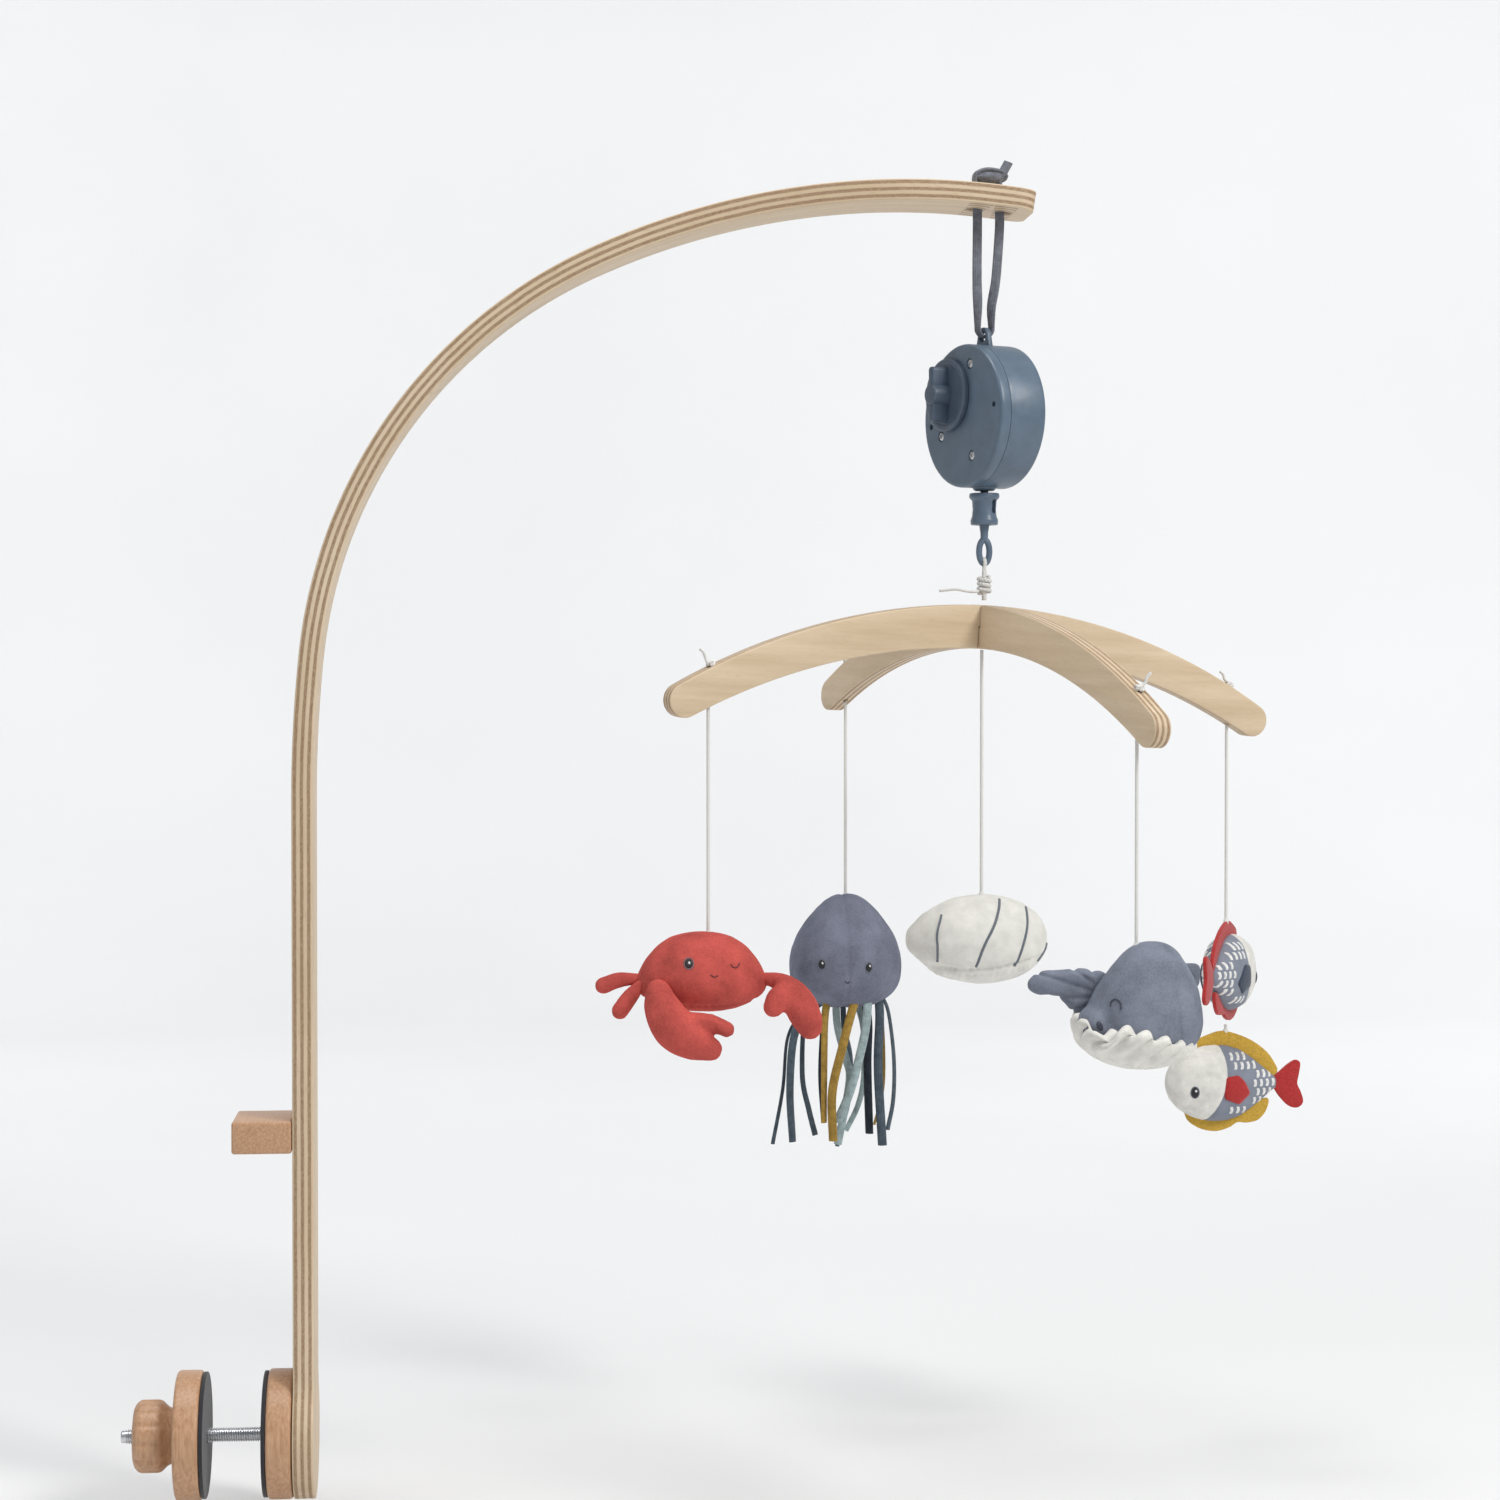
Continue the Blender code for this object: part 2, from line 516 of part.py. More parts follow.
def make_case(hinge):
    front, back, wall = BOX_DEPTH / 2, -BOX_DEPTH / 2, BOX_WALL
    soft = 1.8 * MM
    seam = SEAM_DEPTH + GAP / 2
    cover_profile = [
        (0, front), (BOX_RADIUS - soft, front), (BOX_RADIUS, front - soft), (BOX_RADIUS, seam),
        (BOX_RADIUS - wall, seam), (BOX_RADIUS - wall, front - wall), (0, front - wall),
    ]
    cover = turned("case_cover", cover_profile, "slate_plastic", BOX_PLACE, hinge, 32)
    rim = seam - GAP
    tub_profile = [
        (0, back), (BOX_RADIUS - soft, back), (BOX_RADIUS, back + soft), (BOX_RADIUS, rim),
        (BOX_RADIUS - wall, rim), (BOX_RADIUS - wall, back + wall), (0, back + wall),
    ]
    tub = turned("case_tub", tub_profile, "slate_plastic", BOX_PLACE, hinge, 32)

    lug_half = 5 * MM
    lug_outline = [(-lug_half, BOX_RADIUS - 1.5 * MM), (lug_half, BOX_RADIUS - 1.5 * MM)]
    for k in range(9):
        a = math.pi * k / 8
        lug_outline.append((lug_half * math.cos(a), LUG_HEIGHT + lug_half * math.sin(a)))
    combine(tub, solid("lug", slab_mesh(lug_outline, -LUG_THICK / 2, LUG_THICK / 2), None, BOX_PLACE), "UNION")
    neck_radius, neck_end = 6 * MM, BOX_RADIUS + 1.2 * MM
    neck = turned_mesh([(0, 0), (neck_radius, 0), (neck_radius, 3.5 * MM), (0, 3.5 * MM)], 20)
    down = Matrix.Rotation(math.radians(90), 4, "X")  # turns local Z to -Y in the box
    combine(tub, solid("neck", neck, None, in_box(y=-neck_end + 3.5 * MM) @ down), "UNION")
    for index, (x, y) in enumerate(SCREWS, 1):
        post_radius, post_top = 3 * MM, front - wall - GAP
        post = turned_mesh([(0, back + 1 * MM), (post_radius, back + 1 * MM), (post_radius, post_top), (0, post_top)], 12)
        combine(tub, solid(f"post {index}", post, None, in_box(x, y)), "UNION")
    for index, (x, y) in enumerate(SCREWS, 1):
        pilot, hole, head = 1.6 * MM, 1.6 * MM, 2.9 * MM
        drill(tub, in_box(x, y, 0).translation, in_box(x, y, front + 5 * MM).translation, pilot, 12)
        drill(cover, in_box(x, y, front - 5 * MM).translation, in_box(x, y, front + 5 * MM).translation, hole, 12)
        drill(cover, in_box(x, y, front - 1.2 * MM).translation, in_box(x, y, front + 5 * MM).translation, head, 16)
        length = 12 * MM
        screw = [
            (0, -length), (1.25 * MM, -length), (1.25 * MM, 0), (2.5 * MM, 0), (2.5 * MM, 0.7 * MM),
            (1.6 * MM, 1.2 * MM), (0, 1.2 * MM),
        ]
        turned(f"case_screw_{index}", screw, "steel", in_box(x, y, front - 1.2 * MM + GAP), hinge, 12)
    for x, y in SOUND_HOLES:
        drill(cover, in_box(x, y, front - 5 * MM).translation, in_box(x, y, front + 5 * MM).translation, 1.6 * MM, 12)
    inside, outside = in_box(*WINDER, front - 5 * MM).translation, in_box(*WINDER, front + 5 * MM).translation
    drill(cover, inside, outside, 3.0 * MM, 16)
    eye = in_box(y=LUG_HEIGHT)
    drill(tub, eye @ Vector((0, 0, -8 * MM)), eye @ Vector((0, 0, 8 * MM)), LUG_HOLE, 16)
    drill(tub, in_box(y=-30 * MM).translation, in_box(y=-50 * MM).translation, 2.6 * MM, 16)


def make_winder(hinge):
    """The dial and its wing on the outside, and the spring barrel that it winds."""
    spin = pivot_at("winder spin", in_box(*WINDER).translation, hinge)
    face = BOX_DEPTH / 2 + GAP
    dial = [
        (0, face), (DIAL_RADIUS, face), (DIAL_RADIUS, face + 2.2 * MM), (DIAL_RADIUS - 0.8 * MM, face + 3 * MM),
        (0, face + 3 * MM),
    ]
    key = turned("winding_key", dial, "slate_plastic", in_box(*WINDER), spin, 28)
    wing_low, wing_high = face + 2 * MM, face + 12 * MM
    half_length, half_width = 15 * MM, 2.6 * MM
    wing = rectangle(-half_width, -half_length, half_width, half_length)
    combine(key, solid("wing", slab_mesh(wing, wing_low, wing_high), None, in_box(*WINDER)), "UNION")
    hub = turned_mesh([(0, wing_low), (5.5 * MM, wing_low), (5.5 * MM, wing_high + 0.5 * MM), (0, wing_high + 0.5 * MM)], 20)
    combine(key, solid("hub", hub, None, in_box(*WINDER)), "UNION")

    shaft, pivot_radius = 2.6 * MM, 1.4 * MM
    drum_low, drum_high, drum = -6 * MM, 5 * MM, 10.3 * MM
    barrel_profile = [
        (0, -11.5 * MM), (pivot_radius, -11.5 * MM), (pivot_radius, drum_low - 2 * MM), (drum, drum_low - 2 * MM),
        (drum, drum_high), (shaft, drum_high + 1 * MM), (shaft, face - GAP), (0, face - GAP),
    ]
    barrel = turned("spring_barrel", barrel_profile, "brass", in_box(*WINDER), spin, 24)
    ring = slab_mesh(gear_outline(BARREL_TEETH, 2 / 3, WINDER.length), drum_low - 2 * MM, drum_low)
    combine(barrel, solid("barrel teeth", ring, None, in_box(*WINDER)), "UNION")


def make_movement(hinge):
    floor = -BOX_DEPTH / 2 + BOX_WALL + GAP
    plate_outline = (
        (-25 * MM, -3 * MM), (-16.5 * MM, -3 * MM), (-16.5 * MM, -21 * MM), (-6 * MM, -21 * MM),
        (-6 * MM, -5.5 * MM), (22 * MM, -5.5 * MM), (22 * MM, 23 * MM), (-25 * MM, 23 * MM),
    )
    plate = slab("movement_plate", plate_outline, floor, floor + 1.6 * MM, "steel", BOX_PLACE, hinge)
    cylinder_y, cylinder_z, cylinder_radius = 14 * MM, -2.4 * MM, 5.8 * MM
    cylinder_low, cylinder_high, ear = 3 * MM, 18.5 * MM, 1.2 * MM
    for low in (cylinder_low - 2.2 * MM, cylinder_high + 1 * MM):
        made = slab_mesh(rectangle(low, cylinder_y - 3 * MM, low + ear, cylinder_y + 3 * MM), floor + 1 * MM, 0)
        combine(plate, solid("ear", made, None, BOX_PLACE), "UNION")
    start, end = in_box(-2 * MM, cylinder_y, cylinder_z), in_box(25 * MM, cylinder_y, cylinder_z)
    drill(plate, start.translation, end.translation, 1.2 * MM, 12)
    drill(plate, in_box(*WINDER, floor - 5 * MM).translation, in_box(*WINDER, 0).translation, 1.7 * MM, 12)

    axle = Matrix.Rotation(math.radians(90), 4, "Y")  # turns local Z to x in the box
    spin = pivot_at("cylinder spin", in_box(cylinder_low, cylinder_y, cylinder_z).translation, hinge)
    length, pivot_length = cylinder_high - cylinder_low, 2 * MM
    profile = [
        (0, -pivot_length), (0.9 * MM, -pivot_length), (0.9 * MM, 0), (cylinder_radius, 0),
        (cylinder_radius, length), (0.9 * MM, length), (0.9 * MM, length + pivot_length), (0, length + pivot_length),
    ]
    turned("pin_cylinder", profile, "brass", in_box(cylinder_low, cylinder_y, cylinder_z) @ axle, spin, 24)

    teeth, comb_low, comb_high = 9, 3.9 * MM, 4.6 * MM
    back_y, root_y, tip_y = 23 * MM, 19.5 * MM, 11 * MM
    pitch = length / teeth
    outline = [(cylinder_high, root_y), (cylinder_high, back_y), (cylinder_low, back_y)]
    for k in range(teeth):
        left, right = cylinder_low + k * pitch, cylinder_low + (k + 0.7) * pitch
        outline += [(left, root_y), (left, tip_y), (right, tip_y), (right, root_y)]
    comb = slab("tone_comb", outline, comb_low, comb_high, "steel", BOX_PLACE, hinge)
    foot = slab_mesh(rectangle(cylinder_low, 20.6 * MM, cylinder_high, back_y), floor + 1.6 * MM + GAP, comb_low + 0.3 * MM)
    combine(comb, solid("comb foot", foot, None, BOX_PLACE), "UNION")

    governor_x, governor_y = -11.5 * MM, -14.5 * MM
    plate_hole = in_box(governor_x, governor_y, floor - 5 * MM).translation
    drill(plate, plate_hole, in_box(governor_x, governor_y, 0).translation, 1.2 * MM, 12)
    spin = pivot_at("governor spin", in_box(governor_x, governor_y).translation, hinge)
    profile = [(0, floor + 0.5 * MM), (0.9 * MM, floor + 0.5 * MM), (0.9 * MM, 7 * MM), (0, 7 * MM)]
    governor = turned("governor", profile, "brass", in_box(governor_x, governor_y), spin, 12)
    for turn in (0, 90):
        fan = slab_mesh(rectangle(-5 * MM, -0.4 * MM, 5 * MM, 0.4 * MM), -6 * MM, 4 * MM)
        place = in_box(governor_x, governor_y) @ Matrix.Rotation(math.radians(turn), 4, "Z")
        combine(governor, solid(f"fan {turn}", fan, None, place), "UNION")

    spin = pivot_at("drive spin", in_box().translation, hinge)
    bore, cone = 1.4 * MM, 5 * MM
    profile = [
        (0, -10 * MM), (bore, -10 * MM), (bore, -8 * MM), (4.6 * MM, -8 * MM), (4.6 * MM, -5.9 * MM),
        (cone, -5.6 * MM), (2.0 * MM, -2.6 * MM), (0, -2.6 * MM),
    ]
    drive = turned("drive_wheel", profile, "brass", in_box(), spin, 24)
    half_tooth = math.pi / DRIVE_TEETH
    meet = math.atan2(WINDER.y, WINDER.x)
    ring = slab_mesh(gear_outline(DRIVE_TEETH, 1 / 3, WINDER.length, meet + half_tooth), -7.9 * MM, -6.1 * MM)
    combine(drive, solid("drive teeth", ring, None, in_box()), "UNION")


# ---------------------------------------------------------------- swivel, eye and hanging cord
def make_swivel(hinge):
    down = Matrix.Rotation(math.radians(180), 4, "X")
    spin = pivot_at("carousel spin", (AXIS_X, 0, CUP_BOTTOM_Z), hinge)
    shaft, cone = 2.2 * MM, 5 * MM
    shaft_end = BOX_Z - CUP_TOP_Z + 6 * MM
    profile = [
        (0, 2.6 * MM), (2.0 * MM, 2.6 * MM), (cone, 5.6 * MM), (cone, 6.6 * MM), (shaft, 6.6 * MM),
        (shaft, shaft_end), (0, shaft_end),
    ]
    turned("output_shaft", profile, "steel", Matrix.Translation((AXIS_X, 0, BOX_Z)) @ down, spin, 24)

    height = CUP_TOP_Z - CUP_BOTTOM_Z
    socket, hollow = shaft + GAP, 4.2 * MM
    cup = [
        (socket, 0), (6.2 * MM, 0), (6.6 * MM, 1 * MM), (5.4 * MM, 4 * MM), (5.4 * MM, 8 * MM), (8 * MM, 12 * MM),
        (8 * MM, height), (hollow, height), (hollow, 7.2 * MM), (socket, 6.4 * MM),
    ]
    turned("swivel_cup", cup, "slate_plastic", Matrix.Translation((AXIS_X, 0, CUP_TOP_Z)) @ down, spin, 28)
    return spin


def make_eye(spin):
    """The stem held in the cup and the oval eye below it."""
    tilt = pivot_at("eye tilt", (AXIS_X, 0, CUP_BOTTOM_Z + 4 * MM), spin)
    head = 2.9 * MM
    stem_top, stem_low = CUP_BOTTOM_Z + 7 * MM, EYE_TOP_Z - 2 * EYE_WIRE
    profile = [(0, stem_low), (2.4 * MM, stem_low), (2.4 * MM, stem_top - 5 * MM), (head, stem_top - 4 * MM),
               (head, stem_top), (0, stem_top)]
    stem = turned("eye_link", profile, "slate_plastic", Matrix.Translation((AXIS_X, 0, 0)), tilt, 16)
    half_height = (EYE_TOP_Z - EYE_BOTTOM_Z) / 2 - EYE_WIRE
    middle_z = (EYE_TOP_Z + EYE_BOTTOM_Z) / 2
    ring = []
    for k in range(24):
        a = 2 * math.pi * k / 24
        across = (EYE_HALF_WIDTH - EYE_WIRE) * math.cos(a)
        ring.append(Vector((AXIS_X + across, 0, middle_z + half_height * math.sin(a))))
    combine(stem, solid("eye ring", wire_mesh(ring, EYE_WIRE, Vector((0, 1, 0)), closed=True), None), "UNION")
    return tilt


def make_hanging_cord(tilt):
    wire_z = EYE_BOTTOM_Z + EYE_WIRE
    lean = pivot_at("cross lean", (AXIS_X, 0, wire_z), tilt)
    bend, radius = EYE_WIRE + GAP + 0.9 * MM, 0.9 * MM
    knot_z = EYE_BOTTOM_Z - 9 * MM
    knot = ellipsoid("hanging_cord", (AXIS_X, 0, knot_z), Vector((4, 4, 6)) * MM, "white_string", pivot=lean, rings=8)
    route = [Vector((AXIS_X, -1.4 * MM, knot_z + 2 * MM))]
    for k in range(9):
        a = math.pi * k / 8
        route.append(Vector((AXIS_X, -bend * math.cos(a), wire_z + bend * math.sin(a))))
    route.append(Vector((AXIS_X, 1.4 * MM, knot_z + 2 * MM)))
    loop = wire_mesh(smooth_route(route, 1.6 * MM), radius, Vector((1, 0, 0)), sides=8)
    combine(knot, solid("cord loop", loop, None), "UNION")
    return lean


# ---------------------------------------------------------------- cross and strings
def cross_place():
    """The cross's place: turned about the axis, and leaning a little about the eye that it hangs from."""
    turn = math.radians(CROSS_TURN)
    long_way = Vector((math.cos(turn), math.sin(turn), 0))
    short_way = Vector((math.sin(turn), -math.cos(turn), 0))
    slope = long_way * math.tan(math.radians(CROSS_LEAN[0])) + short_way * math.tan(math.radians(CROSS_LEAN[1]))
    pivot = Vector((AXIS_X, 0, BAR_CENTRE_Z + BAR_HALF_DEPTHS[0]))
    lean = Matrix.Rotation(math.atan(slope.length), 4, UP.cross(slope.normalized()))
    return Matrix.Translation(pivot) @ lean @ Matrix.Rotation(turn, 4, "Z")


def bar_outline(notch_from_top):
    """Half-depth tapers from the middle to the round tips; the notch takes the other bar."""
    middle, end = BAR_HALF_DEPTHS

    def station(degrees, side):
        a = math.radians(degrees)
        half = middle + (end - middle) * abs(degrees) / BAR_END
        r = BAR_RADIUS + side * half
        return r * math.sin(a), r * math.cos(a) - BAR_RADIUS - middle

    def tip(side):
        a = math.radians(BAR_END * side)
        centre = Vector((BAR_RADIUS * math.sin(a), BAR_RADIUS * math.cos(a) - BAR_RADIUS - middle))
        for k in range(1, 8):
            b = math.radians(90 - BAR_END * side - 180 * side * k / 8)
            yield centre.x + end * math.cos(b), centre.y + end * math.sin(b)

    steps = 12
    notch = BAR_THICK / 2 + GAP
    top = [station(BAR_END * k / steps, 1) for k in range(-steps, steps + 1) if k]
    bottom = [station(BAR_END * k / steps, -1) for k in range(steps, -steps - 1, -1) if k]
    mouth, floor = (0, -middle - GAP) if notch_from_top else (-2 * middle, -middle + GAP)
    slot = [(-notch, mouth), (-notch, floor), (notch, floor), (notch, mouth)]
    if notch_from_top:
        top[steps:steps] = slot
    else:
        bottom[steps:steps] = slot[::-1]
    return top + list(tip(1)) + bottom + list(tip(-1))[::-1]


def make_cross(lean):
    place = cross_place()
    upright = Matrix.Rotation(math.radians(90), 4, "X")  # stands an outline up in the XZ plane
    for name, turn, from_top in (("long_bar", 0, False), ("short_bar", -90, True)):
        along = place @ Matrix.Rotation(math.radians(turn), 4, "Z")
        bar = slab(name, bar_outline(from_top), -BAR_THICK / 2, BAR_THICK / 2, "birch_ply", along @ upright, lean)
        drill(bar, along @ Vector((0, 0, 20 * MM)), along @ Vector((0, 0, -40 * MM)), 1.8 * MM, 12)
        for x in (-STRING_PITCH, STRING_PITCH):
            drill(bar, along @ Vector((x, 0, 20 * MM)), along @ Vector((x, 0, -90 * MM)), STRING_HOLE, 12)


def bar_underside(turn, distance):
    """The place under a bar where a string leaves it."""
    degrees = math.degrees(math.asin(distance / (BAR_RADIUS - BAR_HALF_DEPTHS[1] - 1 * MM)))
    middle, end = BAR_HALF_DEPTHS
    r = BAR_RADIUS - middle - (end - middle) * degrees / BAR_END
    local = Vector((distance, 0, r * math.cos(math.radians(degrees)) - BAR_RADIUS - middle))
    return cross_place() @ Matrix.Rotation(math.radians(turn), 4, "Z") @ local


def hang(name, top, bottom_z, parent):
    """A straight string, on a pivot at its top where it swings."""
    swing = pivot_at(f"{name} swing", top, parent)
    start, end = top - UP * GAP * 2, Vector((top.x, top.y, bottom_z + GAP))
    count = 12
    route = [start.lerp(end, k / count) for k in range(count + 1)]
    cord(name, route, STRING_RADIUS, "white_string", swing)
    return swing


# ---------------------------------------------------------------- toys
def limb(centre, length, width, depth, degrees):
    """A long soft lobe in the XZ plane: its place, radii and turn."""
    return centre, Vector((length, depth, width)), Matrix.Rotation(math.radians(-degrees), 4, "Y")


def make_crab(top, twist):
    def at(x, y, z):
        return top + Vector((x, y, z)) * MM

    ellipsoid("crab_body", at(-3.6, 0, -20.9), Vector((35.6, 24, 20.6)) * MM, "coral", pivot=twist, rings=14, steps=22)
    claws = {
        "crab_claw_left": (limb(at(-16, -28, -46), 22 * MM, 11 * MM, 8 * MM, -47),
                           limb(at(1.5, -28, -42), 12 * MM, 5 * MM, 6 * MM, -25)),
        "crab_claw_right": (limb(at(45, -13, -36), 18 * MM, 9.5 * MM, 8 * MM, -50),
                            limb(at(32.5, -15, -38), 8 * MM, 5 * MM, 6 * MM, -60)),
    }
    for name, (palm, thumb) in claws.items():
        claw = ellipsoid(name, *palm[:2], "coral", palm[2], twist, 10, 14)
        combine(claw, solid(f"{name} thumb", ellipsoid_mesh(*thumb, 8, 10), None), "UNION")
    legs = {
        "crab_leg_upper": limb(at(-50.5, 0, -26), 10.3 * MM, 4.8 * MM, 5 * MM, 10),
        "crab_leg_lower": limb(at(-42.8, -4, -36.5), 9.5 * MM, 4.8 * MM, 5 * MM, 56),
    }
    for name, (centre, radii, turn) in legs.items():
        ellipsoid(name, centre, radii, "coral", turn, twist, 8, 12)


JELLYFISH_RADIUS = 33.5 * MM
JELLYFISH_CROWN = 38 * MM
JELLYFISH_SKIRT = 26.7 * MM
RIBBONS = (  # colour and route in millimetres from the string's foot
    ("slate_ribbon", ((-14, -6, -66), (-30, -8, -84), (-33, -8, -112), (-32, -8, -144))),
    ("mustard", ((1, -13, -65), (-4, -14, -88), (-10, -14, -115), (-9, -14, -143))),
    ("mint", ((11, -5, -66), (7, -5, -90), (1, -5, -115), (-6, -5, -134))),
    ("slate_ribbon", ((19, 3, -65), (18, 3, -90), (18, 3, -115), (21, 3, -148))),
)


def make_jellyfish(top, twist):
    rings = 7
    profile = [(0, 0)]
    for k in range(1, rings):
        a = math.pi / 2 * k / rings
        profile.append((JELLYFISH_RADIUS * math.sin(a), -JELLYFISH_CROWN * (1 - math.cos(a))))
    for k in range(rings):
        a = math.pi / 2 * k / rings
        profile.append((JELLYFISH_RADIUS * math.cos(a) ** 0.8, -JELLYFISH_CROWN - JELLYFISH_SKIRT * math.sin(a)))
    profile.append((0, -JELLYFISH_CROWN - JELLYFISH_SKIRT))
    turned("jellyfish_head", profile, "blue_grey", Matrix.Translation(top), twist, 24)
    for index, (look, route) in enumerate(RIBBONS, 1):
        points = smooth_route([top + Vector(p) * MM - UP * 2 * MM for p in route], 2.4 * RIBBON_RADIUS * 2)
        cord(f"jellyfish_ribbon_{index}", points, RIBBON_RADIUS, look, twist)


def make_shell(top, twist):
    """An almond lying along X, blunt at its narrow end."""
    low_x, length, radius = -41.0 * MM, 76.5 * MM, 24.3 * MM
    profile = [(0, 0), (7 * MM, 0.5 * MM)]
    rings = 11
    for k in range(1, rings):
        share = k / rings
        swell = math.sin(math.pi * (0.12 + 0.88 * share) ** 0.9) ** 0.62
        profile.append((radius * swell, length * share))
    profile.append((0, length))
    place = Matrix.Translation(top + Vector((low_x, 0, -radius - 0.2 * MM))) @ TOWARDS_TIP
    turned("shell", profile, "cream", place, twist, 20)


def make_whale(top, twist):
    def at(x, y, z):
        return top + Vector((x, y, z)) * MM

    centre, radii = at(4.9, 0, -27.2), Vector((28.5, 30, 26.6)) * MM
    ellipsoid("whale_body", centre, radii, "blue_grey", pivot=twist, rings=14, steps=20)
    jaw = ellipsoid("whale_jaw", at(0, -1, -40.5), Vector((34, 33, 20)) * MM, "cream", pivot=twist, rings=12, steps=18)
    room = Vector((1, 1, 1)) * 1.2 * MM
    combine(jaw, solid("jaw hollow", ellipsoid_mesh(centre, radii + room, None, 14, 20), None), "DIFFERENCE")
    upper = slab_mesh(rectangle(-60 * MM, -60 * MM, 60 * MM, 60 * MM), 0, 40 * MM)
    lean = Matrix.Rotation(math.radians(10), 4, "Y")
    combine(jaw, solid("jaw top", upper, None, Matrix.Translation(at(0, 0, -41)) @ lean), "DIFFERENCE")
    centre, radii, turn = limb(at(-38, 13, -20), 16 * MM, 9 * MM, 3.5 * MM, -14)
    ellipsoid("whale_tail", centre, radii, "blue_grey", turn, twist, 8, 12)
    centre, radii, turn = limb(at(35, 10, -13), 7 * MM, 6 * MM, 3 * MM, -50)
    ellipsoid("whale_fin", centre, radii, "blue_grey", turn, twist, 8, 12)


def fin_outline(start, end, height):
    """A crescent that follows the fish's body between two angles in its XZ plane."""
    inner, outer = [], []
    steps = 8
    for k in range(steps + 1):
        a = math.radians(start + (end - start) * k / steps)
        x, z = FISH_RADII.x * math.cos(a), FISH_RADII.z * math.sin(a)
        away = Vector((x / FISH_RADII.x**2, z / FISH_RADII.z**2)).normalized()
        base = Vector((x, z))
        rise = FIN_ROOT + height * math.sin(math.pi * k / steps) ** 0.6
        inner.append(tuple(base + away * 2 * GAP))
        outer.append(tuple(base + away * rise))
    return inner + outer[::-1]


def make_fish(name, centre, turn, looks, fins, twist):
    """Looks towards local -X before it is turned; its fins are flat felt sewn into the body's seam."""
    upright = Matrix.Rotation(math.radians(90), 4, "X")
    place = Matrix.Translation(centre) @ Matrix.Rotation(math.radians(turn - 180), 4, "Z")
    made = ellipsoid_mesh(Vector(), FISH_RADII, None, 12, 18)
    solid(f"{name}_body", made, "scale_grey", place, twist)
    for part, start, end, height in fins:
        outline = fin_outline(start, end, height)
        slab(f"{name}_{part}", outline, -FIN_THICK / 2, FIN_THICK / 2, looks[part], place @ upright, twist)
    root, tip = FISH_RADII.x + 2 * GAP, FISH_RADII.x + 13 * MM
    tail = ((root, -3 * MM), (tip, -14 * MM), (tip - 3.5 * MM, 0), (tip - 2 * MM, 13 * MM), (root, 3 * MM))
    slab(f"{name}_tail", tail, -FIN_THICK / 2, FIN_THICK / 2, looks["tail"], place @ upright, twist)


def make_toys(lean):
    def twist_at(name, top, z, swing):
        foot = Vector((top.x, top.y, z))
        return foot, pivot_at(f"{name} twist", foot, swing)

    top = bar_underside(180, STRING_PITCH)
    make_crab(*twist_at("crab", top, CRAB_TOP_Z, hang("crab_string", top, CRAB_TOP_Z, lean)))
    top = bar_underside(90, STRING_PITCH)
    swing = hang("jellyfish_string", top, JELLYFISH_TOP_Z, lean)
    make_jellyfish(*twist_at("jellyfish", top, JELLYFISH_TOP_Z, swing))
    top = bar_underside(0, 0)
    swing = hang("shell_string", top, SHELL_TOP_Z, lean)
    make_shell(*twist_at("shell", top, SHELL_TOP_Z, swing))
    top = bar_underside(-90, STRING_PITCH)
    make_whale(*twist_at("whale", top, WHALE_TOP_Z, hang("whale_string", top, WHALE_TOP_Z, lean)))
    top = bar_underside(0, STRING_PITCH)
    swing = hang("fish_string", top, UPPER_FISH_TOP_Z, lean)
    foot, twist = twist_at("upper fish", top, UPPER_FISH_TOP_Z, swing)
    below_foot = UP * (FISH_RADII.z + BACK_FIN + FIN_ROOT + GAP)
    upper_centre = foot - below_foot
    fins = (("back_fin", 40, 150, BACK_FIN), ("belly_fin", 215, 320, BELLY_FIN))
    red = {"back_fin": "red_felt", "belly_fin": "red_felt", "tail": "red_felt"}
    make_fish("upper_fish", upper_centre, UPPER_FISH_TURN, red, fins, twist)
    belly_z = upper_centre.z - FISH_RADII.z - BELLY_FIN - FIN_ROOT
    top = Vector((top.x, top.y, belly_z))
    swing = hang("fish_link_string", top, LOWER_FISH_TOP_Z, twist)
    foot, twist = twist_at("lower fish", top, LOWER_FISH_TOP_Z, swing)
    lower_centre = foot - below_foot
    mustard = {"back_fin": "mustard", "belly_fin": "mustard", "tail": "red_felt"}
    make_fish("lower_fish", lower_centre, LOWER_FISH_TURN, mustard, fins, twist)


def make_mobile():
    make_mast()
    make_rail_block()
    make_clamp()
    strap_hinge = pivot_at("strap swing", (AXIS_X, 0, STRAP_HINGE_Z))
    make_strap(strap_hinge)
    box_hinge = pivot_at("box swing", (AXIS_X, 0, BOX_Z + LUG_HEIGHT), strap_hinge)
    make_case(box_hinge)
    make_winder(box_hinge)
    make_movement(box_hinge)
    lean = make_hanging_cord(make_eye(make_swivel(box_hinge)))
    make_cross(lean)
    make_toys(lean)


make_mobile()
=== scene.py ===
"""Looks of the wooden crib mobile: bent birch plywood, a moulded music box on a woven strap, and plush
sea animals on twisted strings.

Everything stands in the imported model's frame, in metres. Toy shapes are given in millimetres from the
foot of the string that each toy hangs on: X to the right, Y away from the room, Z up.
"""
import math

import bmesh
import bpy
import numpy as np
from mathutils import Matrix, Vector, noise
from mathutils.bvhtree import BVHTree


